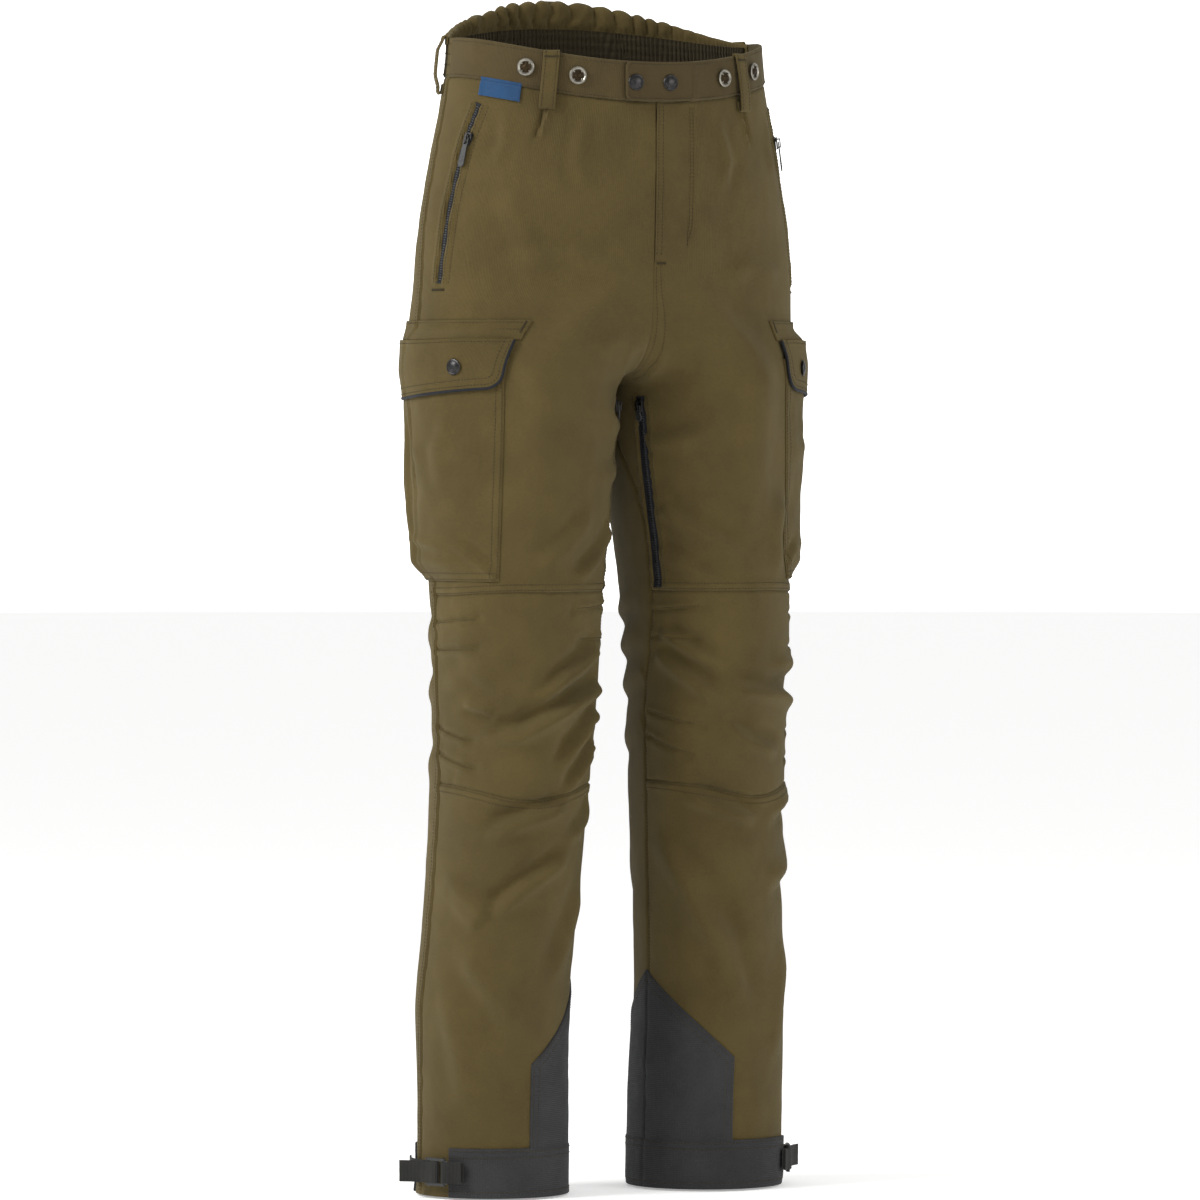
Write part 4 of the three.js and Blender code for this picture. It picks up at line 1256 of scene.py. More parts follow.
@dataclass
class WaistBands:
    """Front bands, the gathered back band with its header, the elastic, loops, buttons and label.

    Attributes:
        loop_width: a belt loop's width.
        loop_drop: how far a loop runs below the band's seam.
        button_angles: where the brace buttons stand.
    """

    loop_width: float = 15.0
    loop_drop: float = 14.0
    button_angles: tuple[tuple[str, float], ...] = (("inner", 28.0), ("outer", 47.5))

    def build(self) -> None:
        """Builds every piece of the waist."""
        self.front_band(Side.RIGHT, -6.5)
        self.front_band(Side.LEFT, 13.0)
        self.back_band()
        self.elastic()
        for side in Side:
            self.loop(side, "belt_loop_front", 38.0, 4.6)
            self.loop(side, "belt_loop_side", 102.0, 8.4)
            for name, angle in self.button_angles:
                self.button(side, name, angle)
        self.loop(Side.RIGHT, "belt_loop_back", 180.0, 7.0)
        self.label()

    def front_band(self, side: Side, start: float) -> None:
        """A folded band with a rounded top edge, a little proud of the panel under it."""
        u = lattice(170, 2.6, 1.2, 5)
        v = lattice(BAND_HEIGHT, 1.8, 0.5, 3)
        angle, z = panel_grid(constant(start), constant(SIDE_SEAM), waist_seam, waist_top, u, v)
        up, down = waist_top(angle) - z, z - waist_seam(angle)
        rounding = 1.3 * (1 - np.sqrt(1 - np.clip(1 - np.minimum(up, down * 1.5) / 1.5, 0, 1) ** 2))
        ripple = 0.35 * line_noise(angle * 2.6, 11, 8) * bell(down - 2, 8) + 0.3 * line_noise(angle * 2.6, 17, 9)
        outer = GARMENT.cloth(side, angle, z, 1.5 - rounding + ripple + 0.5 * bell(up - 18, 12))
        inner = GARMENT.plain(side, angle, z, -1.6 + rounding + 0.3 * ripple)
        node = f"waistband_{side.word}"
        Piece(node + "_cloth", (Look.SATIN, Look.LINING), "shell", "root", (node,)).make(
            shell(outer, inner, flat_map(angle, z)))
        surface = on_cloth(side, 1.5)
        low = sampled(waist_seam, max(start, 0) + 1, 91, 24)
        high = sampled(waist_top, max(start, 0) + 1, 91, 24)
        ROOT_STITCHES.row(surface, low, 2.6)
        ROOT_STITCHES.row(surface, high, -3.2)

    @staticmethod
    def _gathers(angle: Array, z: Array) -> tuple[Array, Array]:
        """Waves of the gathered band: fine ridges at the elastic, and round puffs parted by creases in the header."""
        s = angle * BACK_MM
        header = smooth(z - waist_seam(angle), 30, 42)
        reach = smooth(folded(angle), 94, 112)
        fine = 0.9 * np.sin(2 * math.pi * (s / 5.4 + 0.8 * line_noise(s, 14, 4)))
        turn = s / 15.0 + 0.9 * line_noise(s, 33, 12) + 0.25 * line_noise(z + s * 0.3, 14, 16)
        puff = np.abs(np.sin(math.pi * turn)) ** 0.7 * (0.7 + 0.45 * line_noise(s, 21, 15))
        puff += 0.22 * line_noise(s - 0.8 * z, 7, 13)
        return reach * fine * (1 - 0.7 * header), header * reach * puff

    def back_band(self) -> None:
        """The back band: gathered on its elastic, with a ruffled header whose top edge rises and falls."""
        u = lattice(420, 1.5, 1.0, 5)
        v = lattice(62, 2.0, 0.6, 4)
        angle, z = panel_grid(constant(SIDE_SEAM), constant(360 - SIDE_SEAM), waist_seam, waist_top, u, v)
        lift = smooth(z - waist_seam(angle), 34, 60) * smooth(folded(angle), 96, 120)
        z = z + lift * (4.5 * self._gathers(angle, z)[1] - 2.5 + 2.0 * line_noise(angle * BACK_MM, 40, 21))
        waves, puff = self._gathers(angle, z)
        up = np.meshgrid(u, 1 - v)[1] * 62
        close = np.sqrt(1 - np.clip(1 - up / 9.0, 0, 1) ** 2)
        down = np.clip(z - waist_seam(angle), 0, None)
        outer = GARMENT.plain(Side.RIGHT, angle, z, waves + (1.2 + 4.2 * puff) * close * smooth(down, -0.5, 2) - 1.0)
        inner = GARMENT.plain(Side.RIGHT, angle, z, 0.7 * waves - (1.8 + 5.6 * puff) * close - 1.1)
        Piece("waistband_back_cloth", (Look.SHELL, Look.SHELL), "shell", "root", ("waistband_back",)).make(
            shell(outer, inner, flat_map(angle * 1.6, z)))

        def surface(a: Array, h: Array, out: float = 0.0) -> Array:
            """The gathered band's face."""
            return GARMENT.plain(Side.RIGHT, a, h, self._gathers(a, h)[0] + 0.5 + out)

        for height in (2.5, 12.0, 22.0, 32.0):
            ROOT_STITCHES.row(surface, sampled(lambda a: waist_seam(a) + height, 94, 266, 60))

    def elastic(self) -> None:
        """The shirred elastic inside the back band."""
        u, v = lattice(380, 1.3, 1.0, 3), lattice(34, 1.7, 0.6, 2)
        low = lambda a: waist_seam(a) + 1
        high = lambda a: waist_seam(a) + 34
        angle, z = panel_grid(constant(94), constant(266), low, high, u, v)
        s = angle * BACK_MM
        rows = np.cos((z - waist_seam(angle)) / 8.0 * 2 * math.pi)
        wave = 0.75 * np.sin(2 * math.pi * (s / 4.1 + 0.7 * line_noise(s + 0.3 * z, 12, 31))) + 0.3 * rows
        outer = GARMENT.plain(Side.RIGHT, angle, z, -3.9 + 0.3 * wave)
        inner = GARMENT.plain(Side.RIGHT, angle, z, -5.3 + wave)
        Piece("waist_elastic_cloth", (Look.ELASTIC, Look.ELASTIC), "elastic", "root", ("waist_elastic",)).make(
            shell(outer, inner, flat_map(angle * 1.6, z)))

    def loop(self, side: Side, name: str, angle: float, stand: float) -> None:
        """A belt loop: a strap turned under at its foot, bowed off the band and turned over at its top."""
        top, foot = float(waist_top(angle)) - 1.0, float(waist_seam(angle)) - self.loop_drop
        shape = np.array([(1.3, foot + 8), (1.2, foot + 2), (2.2, foot - 0.9), (3.6, foot + 0.6), (4.0, foot + 5),
                          (stand, foot + 15), (stand + 0.4, (foot + top) / 2), (stand, top - 12), (4.0, top - 3),
                          (3.4, top + 0.4), (2.0, top + 0.9), (1.4, top - 2), (1.4, top - 6)])
        t = np.linspace(0, len(shape) - 1, 70)
        k = np.clip(t.astype(int), 0, len(shape) - 2)
        f = smooth(t - k, 0, 1) * 0.35 + (t - k) * 0.65
        line = relaxed(mix(shape[k], shape[k + 1], f[:, None]), 2)
        base = Pose.at(GARMENT.plain(side, angle, (top + foot) / 2), [0, 0, 1],
                       GARMENT.outward(side, angle, (top + foot) / 2))
        ends = GARMENT.relief(side, np.full(2, angle), np.array([foot - 4, top - 8]))
        lift = mix(ends[0], ends[1], smooth(line[:, 1], foot, top))
        lean = GARMENT.plain(side, np.full(70, angle), line[:, 1], line[:, 0] + lift)
        across = np.repeat(base.across[None], 70, 0)
        strap = swept(lean, across, rounded(self.loop_width, 1.5, 0.55))
        node = name if name.endswith("back") else f"{name}_{side.word}"
        Piece(node + "_strap", (Look.SHELL,), "shell", "root", (node,)).make(strap)
        keep = slice(16, 58)
        normal = unit(np.cross(unit(np.gradient(lean, axis=0)), across))
        normal *= np.sign((normal * base.out).sum(-1, keepdims=True))
        for shift in (-5.2, 5.2):
            row = lean[keep] + across[keep] * shift + normal[keep] * 1.5
            ROOT_STITCHES.along(row, row + normal[keep])

        def face(a: Array, h: Array, out: float = 0.0) -> Array:
            """The loop's face at its sewn ends."""
            return GARMENT.plain(side, a, h, 5.4 + out)

        for z_tack in (foot + 4.0, top - 4.0):
            ROOT_STITCHES.tack(face, angle, z_tack, 12.0, 1.8)

    def button(self, side: Side, name: str, angle: float) -> None:
        """A brace button: a nickel ring held by four claws over a bronze dish, on a shank."""
        z = float(waist_top(angle) + waist_seam(angle)) / 2
        out = GARMENT.outward(side, angle, z) * np.array([1, 1, 0])
        pose = Pose.at(GARMENT.plain(side, angle, z, 1.2), [0, 0, 1], unit(out))
        ring_part = turned([(0, 0), (2.8, 0), (2.7, 2.3), (7.0, 2.4), (8.0, 3.0), (8.2, 3.7), (7.7, 4.3), (6.7, 4.4),
                            (5.9, 3.9), (5.5, 3.2), (0, 3.2)])
        dish = turned([(0, 3.1), (5.3, 3.1), (5.2, 3.5), (3.4, 3.3), (1.8, 3.7), (1.2, 4.1), (0, 4.2)])
        claws = []
        for quarter in range(4):
            turn = math.pi / 4 + quarter * math.pi / 2
            claw = bar(4.2, 6.6, -0.7, 0.7, 3.3, 4.5, 0.3)
            c, s = math.cos(turn), math.sin(turn)
            spun = claw.points @ np.array([[c, s, 0], [-s, c, 0], [0, 0, 1]])
            claws.append(Patch(spun, claw.quads, claw.flat, claw.index))
        parts = [pose.place(ring_part), pose.place(dish).moved(1), *(pose.place(c) for c in claws)]
        node = f"brace_button_{name}_{side.word}"
        Piece(node + "_metal", (Look.NICKEL, Look.BRONZE), "nickel", "root", (node,), 32.0).make(*parts)

    def label(self) -> None:
        """A plain woven label sewn over the right band's seam."""
        u, v = lattice(41, 1.0, 0.5, 2), lattice(16, 1.0, 0.5, 2)
        low = lambda a: waist_seam(a) - 14
        high = lambda a: waist_seam(a) + 3
        angle, z = panel_grid(constant(48.6), constant(67.4), low, high, u, v)
        out = 2.3 + rim_soften(angle.shape, 0.3) + 0.4 * line_noise(angle * 2.0, 6, 41)
        Piece("waist_label", (Look.LABEL, Look.LABEL), "lining").make(
            cloth_shell(Side.RIGHT, angle, z, out, 0.8))


@dataclass
class Fly:
    """The placket and waist tab that swing open, and the zip and shield behind them."""

    edge_x: float = 0.6
    tab_end: float = -31.0
    tab_corner: float = 6.0

    def build(self) -> None:
        """Builds the fly."""
        self.placket()
        self.tab()
        self.shield()
        self.zip()

    @staticmethod
    def angle_at(x: Array | float, z: Array | float) -> Array:
        """The angle of a place x millimetres to the wearer's left on the front."""
        return -np.degrees(np.arcsin(np.clip(np.asarray(x, float) / section(1, np.asarray(z, float)), -1, 1)))

    def surface(self, x: Array, z: Array, out: Array | float) -> Array:
        """Points on the left front's cloth by their distance from the middle."""
        return GARMENT.cloth(Side.LEFT, -self.angle_at(x, z), z, out)

    def placket(self) -> None:
        """The left front's overlap, slightly proud at its free edge."""
        u, v = lattice(33, 1.2, 0.5, 2), lattice(150, 2.2, 0.7, 4)
        x, share = np.meshgrid(mix(self.edge_x, FLY_WIDTH - 0.15, u), v)
        z = mix(FLY_LOW + 0.2, waist_seam(-self.angle_at(x, 1013)), share)
        wave = 0.7 * line_noise(z, 21, 51) + 0.4 * line_noise(z, 8, 52)
        lift = bell(x - self.edge_x, 9.0) * (1.3 + wave) * smooth(z, FLY_LOW, FLY_LOW + 14)
        outer = self.surface(x, z, lift)
        inner = outer - GARMENT.outward(Side.LEFT, -self.angle_at(x, z), z) * 1.9
        Piece("fly_placket_cloth", (Look.SHELL, Look.LINING), "shell", "fly_flap", ("fly_placket",)).make(
            shell(outer, inner, np.stack([x, z], -1)))
        threads = Stitching()
        z_line = np.linspace(FLY_LOW + 6, 1009, 160)
        for x_line in (np.full(160, self.edge_x + 1.8), np.full(160, self.edge_x + 6.5)):
            wave = 0.7 * line_noise(z_line, 21, 51) + 0.4 * line_noise(z_line, 8, 52)
            lift = bell(x_line - self.edge_x, 9.0) * (1.3 + wave)
            threads.along(self.surface(x_line, z_line, lift), self.surface(x_line, z_line, lift + 1))
        threads.make("fly_placket_stitching", "fly_flap")
        for inset in (1.8, 5.2):
            z_j = np.linspace(1009, 880, 140)
            bend = 1 - np.sqrt(1 - np.clip((905 - z_j) / 34, 0, 0.94) ** 2)
            x_j = np.maximum(FLY_WIDTH + inset - (FLY_WIDTH - 10) * bend, FLY_WIDTH + 0.6)
            ROOT_STITCHES.along(self.surface(x_j, z_j, 0.05), self.surface(x_j, z_j, 1.05))
        ROOT_STITCHES.tack(on_cloth(Side.LEFT), 2.2, FLY_LOW - 1.5, 9.0, 2.0)

    def tab(self) -> None:
        """The waist tab: a double layer with rounded corners that crosses the middle, with two domed snaps."""
        u, v = lattice(65, 1.2, 0.4, 3), lattice(37, 1.4, 0.5, 3)
        x, share = np.meshgrid(mix(self.tab_end, FLY_WIDTH - 0.15, u), v)
        near = np.clip(self.tab_corner - (x - self.tab_end), 0, self.tab_corner)
        inset = self.tab_corner - np.sqrt(self.tab_corner**2 - near**2)
        angle = self.angle_at(x, FLY_TURN)
        low, high = waist_seam(angle) + 0.6 + inset, waist_top(angle) - inset
        z = mix(low, high, share)
        edge = np.minimum(np.minimum(x - self.tab_end, z - low), high - z)
        soft = 0.8 * (1 - smooth(edge, 0, 1.6))
        bow = 0.5 * line_noise(x, 14, 61) + 0.5 * line_noise(z, 12, 62)
        outer = GARMENT.plain(Side.RIGHT, self.angle_at(x, z), z, 6.0 - soft + bow)
        inner = GARMENT.plain(Side.RIGHT, self.angle_at(x, z), z, 3.2 + soft + bow * 0.6)
        Piece("waist_tab_cloth", (Look.SATIN, Look.LINING), "shell", "fly_flap", ("waist_tab",)).make(
            shell(outer, inner, np.stack([x, z], -1)))
        threads = Stitching()
        inset = 2.4
        r = self.tab_corner - inset + 1
        top = np.linspace(FLY_WIDTH - 1, self.tab_end + 7, 70)
        turn = np.radians(np.linspace(90, 180, 12))
        left = self.tab_end + inset
        x_l = np.r_[top, left + r + r * np.cos(turn), np.full(24, left), left + r + r * np.cos(turn[::-1]), top[::-1]]
        roof = waist_top(self.angle_at(top, FLY_TURN)) - inset
        floor = waist_seam(self.angle_at(top, FLY_TURN)) + inset + 0.6
        z_l = np.r_[roof, roof[-1] - r + r * np.sin(turn), np.linspace(roof[-1] - r, floor[-1] + r, 24),
                    floor[-1] + r - r * np.sin(turn[::-1]), floor[::-1]]
        round_edge = self.angle_at(x_l, z_l)
        threads.along(GARMENT.plain(Side.RIGHT, round_edge, z_l, 6.0), GARMENT.plain(Side.RIGHT, round_edge, z_l, 7.0))
        threads.make("waist_tab_stitching", "fly_flap")
        for name, x_snap in (("tab_snap_end", -22.0), ("tab_snap_inner", 12.0)):
            angle_here = float(self.angle_at(x_snap, 1031.0))
            pose = Pose.at(GARMENT.plain(Side.RIGHT, angle_here, 1031.0, 5.8), [0, 0, 1],
                           GARMENT.outward(Side.RIGHT, angle_here, 1031.0))
            Piece(name + "_cap", (Look.GUNMETAL,), "gunmetal", "fly_flap", (name,), 28.0).make(pose.place(snap_cap()))

    def shield(self) -> None:
        """The lining shield behind the zip."""
        u, v = lattice(35, 2.0, 1.0, 3), lattice(138, 4.0, 1.5, 4)
        x, z = np.meshgrid(mix(-7.0, 28.0, u), mix(FLY_LOW + 4, 1008, v))
        wave = 0.6 * line_noise(z, 26, 71)
        angle = self.angle_at(x, z)
        outer = GARMENT.plain(Side.RIGHT, angle, z, -13.2 + wave)
        inner = GARMENT.plain(Side.RIGHT, angle, z, -14.8 + wave)
        Piece("fly_shield_cloth", (Look.LINING, Look.LINING), "lining", "root", ("fly_shield",)).make(
            shell(outer, inner, np.stack([x, z], -1)))

    def zip(self) -> None:
        """The fly's tape, coil and slider."""
        line = ZipLine(np.array([13.0, -99, 1005]), np.array([13.0, -95.2, 872]), np.array([0.0, -1, 0]), 9.0)
        Piece("fly_zip_tape", (Look.TAPE, Look.COIL), "zip", "root", ("fly_zip",)).make(line.tape(), *line.coil())
        Piece("fly_slider_metal", (Look.GUNMETAL,), "gunmetal", "fly_slider", ("fly_slider",), 30.0).make(
            *line.slider(0.0))


def snap_cap() -> Patch:
    """A domed snap cap with a rolled rim and a shallow step."""
    return turned([(0, -0.6), (6.2, -0.6), (7.3, 0.0), (7.6, 0.7), (7.2, 1.4), (6.3, 1.7), (5.9, 1.5), (5.4, 1.9),
                   (4.0, 2.6), (2.0, 3.0), (0, 3.1)], 32)


@dataclass
class ZipLine:
    """A straight zip in space.

    Attributes:
        top: the tape's upper end, on its underside.
        bottom: its lower end.
        outward: roughly outwards.
        rest: how far the slider sits below the top.
        width: the tape's width.
    """

    top: Array
    bottom: Array
    outward: Array
    rest: float
    width: float = 13.0

    def pose(self, down: float, lift: float) -> Pose:
        """A place down the tape and off its underside, with the local Y axis up the tape."""
        up = unit(self.top - self.bottom)
        here = Pose.at(self.top - up * down, up, self.outward)
        return Pose(here.origin + here.out * lift, here.across, here.along, here.out)

    def tape(self) -> Patch:
        """The woven tape as a thin strap."""
        length = float(np.linalg.norm(self.top - self.bottom))
        pose = self.pose(0, 0)
        path = pose.origin - pose.along * np.linspace(0, length, 60)[:, None]
        return swept(path, np.repeat(pose.across[None], 60, 0), rounded(self.width, 1.0, 0.4))

    def coil(self, pitch: float = 2.4) -> list[Patch]:
        """The moulded coil: short bars across the tape."""
        length = float(np.linalg.norm(self.top - self.bottom))
        pose = self.pose(0, 1.0)
        down = np.arange(2, length - 2, pitch)
        middle = pose.origin - pose.along * down[:, None]
        count = len(down)
        rows = Stitching()
        rows.threads(middle, np.repeat(pose.across[None], count, 0), np.repeat(pose.out[None], count, 0),
                     np.repeat(pose.along[None], count, 0), 5.2, 0.85)
        return [p.moved(1) for p in rows.patches]

    def slider(self, lift: float) -> list[Patch]:
        """The slider's body, its flanges and the bridge that holds the pull."""
        pose = self.pose(self.rest, 1.9 + lift)
        body = np.array([(-3.1, -6), (3.1, -6), (4.5, 1), (4.5, 3.5), (3.4, 6), (-3.4, 6), (-4.5, 3.5), (-4.5, 1)],
                        float)
        parts = [slab(body, 0, 1.1, 0.3), slab(body * 0.94, 1.5, 2.8, 0.4), bar(-1.4, 1.4, 1.5, 5.4, 0.2, 2.2),
                 bar(-0.9, 0.9, -4.4, 4.4, 4.7, 5.7, 0.3), bar(-0.9, 0.9, -4.6, -3.4, 2.2, 5.2, 0.3),
                 bar(-0.9, 0.9, 3.2, 4.4, 2.2, 5.2, 0.3)]
        return [pose.place(p) for p in parts]

    def pull(self, length: float, lift: float) -> list[Patch]:
        """A moulded teardrop pull that hangs on the bridge: an eye, a neck and a ribbed grip."""
        pose = self.pose(self.rest, 1.9 + 3.7 + lift)
        t = np.radians(np.linspace(180, 360, 14))
        wide = 3.6
        grip = np.concatenate([np.stack([wide * np.cos(t), -length + wide + wide * np.sin(t)], -1),
                               np.array([(2.3, -5.4), (-2.3, -5.4)])])
        parts = [slab(grip, -0.7, 0.7, 0.45), bar(-2.7, -1.5, -6.4, 0.8, -0.6, 0.6),
                 bar(1.5, 2.7, -6.4, 0.8, -0.6, 0.6), bar(-2.7, 2.7, -0.6, 0.8, -0.6, 0.6)]
        for k in range(3):
            y = -length + 5.2 + 2.3 * k
            parts.append(bar(-2.0, 2.0, y - 0.45, y + 0.45, -0.95, 0.95, 0.3))
        return [pose.place(p) for p in parts]


@dataclass
class SideZips:
    """The hand pocket and thigh vent zips of one leg, with the pocket's bag."""

    side: Side

    def build(self) -> None:
        """Builds both zips and the bag."""
        self.pocket()
        self.vent()
        self.bag()

    def _line(self, top: tuple[float, float], bottom: tuple[float, float], depth: float, facing: tuple[float, float],
              rest: float) -> ZipLine:
        """A zip between two places on the skin."""
        side = self.side
        return ZipLine(GARMENT.plain(side, top[0], top[1], depth), GARMENT.plain(side, bottom[0], bottom[1], depth),
                       GARMENT.outward(side, facing[0], facing[1]), rest)

    def _tape_on_cloth(self, name: str, path: Path, width: float, coil_width: float, lift: float) -> None:
        """Tape and coil that follow the worn cloth in their channel."""
        corners = np.array(path, float)
        s = np.linspace(0, 1, 130)
        at = np.linspace(0, 1, len(corners))
        angle, z = np.interp(s, at, corners[:, 0]), np.interp(s, at, corners[:, 1])
        points = GARMENT.cloth(self.side, angle, z, lift)
        out = GARMENT.outward(self.side, angle, z)
        along = unit(np.gradient(points, axis=0))
        across = np.cross(along, out)
        tape = swept(points, across, rounded(width, 0.9, 0.35))
        length = np.r_[0, np.cumsum(np.linalg.norm(np.diff(points, axis=0), axis=1))]
        centres = np.arange(2, length[-1] - 2, 2.3)
        at3 = lambda v: np.stack([np.interp(centres, length, v[:, k]) for k in range(3)], -1)
        rows = Stitching()
        rows.threads(at3(points + out * 0.9), at3(across), at3(out), at3(along), coil_width, 0.8)
        node = f"{name}_{self.side.word}"
        Piece(node + "_tape", (Look.TAPE, Look.COIL), "zip", "root", (node,)).make(
            tape, *(p.moved(1) for p in rows.patches))

    def pocket(self) -> None:
        """The slanted hand pocket: tape in its channel, slider, long pull, bar tacks and edge rows."""
        side, word = self.side, self.side.word
        line = self._line((67, 1014), (77, 846), -0.4, (72, 932), 36)
        self._tape_on_cloth("pocket_zip", POCKET_LINE, 6.4, 4.6, 0.2)
        Piece(f"pocket_slider_{word}_metal", (Look.GUNMETAL,), "gunmetal", f"pocket_slider_{word}",
              (f"pocket_slider_{word}",), 30.0).make(*line.slider(1.2))
        Piece(f"pocket_pull_{word}_grip", (Look.PLASTIC,), "plastic", f"pocket_pull_{word}",
              (f"pocket_pull_{word}",), 30.0).make(*line.pull(27, 1.2))
        surface = on_cloth(side)
        for shift in (-6.2, 6.2, 11.5):
            ROOT_STITCHES.row(surface, POCKET_LINE, shift)
        ROOT_STITCHES.tack(surface, 77.4, 840.0, 15.0, 2.4)

    def vent(self) -> None:
        """The thigh vent beside the inseam."""
        side, word = self.side, self.side.word
        line = self._line((-59.5, 742), (-59.5, 566), -1.8, (-59.5, 655), 9)
        self._tape_on_cloth("vent_zip", VENT_LINE, 9.6, 5.2, 0.3)
        Piece(f"vent_slider_{word}_metal", (Look.GUNMETAL,), "gunmetal", f"vent_slider_{word}",
              (f"vent_slider_{word}",), 30.0).make(*line.slider(1.4))
        Piece(f"vent_pull_{word}_grip", (Look.PLASTIC,), "plastic", f"vent_pull_{word}",
              (f"vent_pull_{word}",), 30.0).make(*line.pull(14, 1.4))
        for shift in (-9.0, 9.0):
            ROOT_STITCHES.row(on_cloth(side), VENT_LINE, shift)

    def bag(self) -> None:
        """The flat lining bag behind the hand pocket."""
        u, v = lattice(110, 3.0, 1.5, 4), lattice(178, 3.5, 1.5, 4)
        angle, z = panel_grid(constant(20), constant(86), constant(827), constant(1003), u, v)
        points = GARMENT.plain(self.side, angle, z, 0.0)
        wave = 0.9 * noise(points, 28.0, 81)
        share_u, share_v = np.meshgrid(u, v)
        crown = np.minimum(1.0, 5 * np.sqrt(np.clip(share_u * (1 - share_u) * share_v * (1 - share_v), 0, 1)) * 1.6)
        outer = GARMENT.plain(self.side, angle, z, -10.4 + 0.9 * crown + wave)
        inner = GARMENT.plain(self.side, angle, z, -11.2 - 0.9 * crown + wave)
        node = f"pocket_bag_{self.side.word}"
        Piece(node + "_cloth", (Look.LINING,), "lining", "root", (node,)).make(
            shell(outer, inner, flat_map(angle, z), None, False))


@dataclass(frozen=True)
class Channel:
    """A zip's place in the cloth: a flat groove between two raised lips."""

    path: Path
    half: float
    depth: float
    lip: float

    def add_to(self, relief: Array, angle: Array, z: Array, speed: Array) -> None:
        """Adds the groove and lips."""
        near, d, t, length = measure(self.path, angle, z, speed, self.half + 14)
        ends = smooth(t, 0, 0.012) * (1 - smooth(t, 0.988, 1))
        groove = 1 - smooth(np.abs(d), self.half - 0.7, self.half + 0.7)
        lips = smooth(np.abs(d), self.half, self.half + 1.2) * (1 - smooth(np.abs(d), self.half + 5.5, self.half + 7.5))
        ripple = 0.5 * line_noise(t * length, 9, 6) * bell(np.abs(d) - self.half - 3, 5)
        relief[near] += ends * (self.lip * lips - self.depth * groove) + ripple


POCKET_LINE = upright(lambda z: np.interp(z, [846, 930, 976, 1014], [77.0, 74.0, 71.6, 67.0]), 846, 1012, 12)
VENT_LINE = upright(constant(-59.5), 564, 742, 12)
GARMENT.seams += [Channel(POCKET_LINE, 2.6, 2.0, 1.5), Channel(VENT_LINE, 4.6, 1.4, 0.9)]


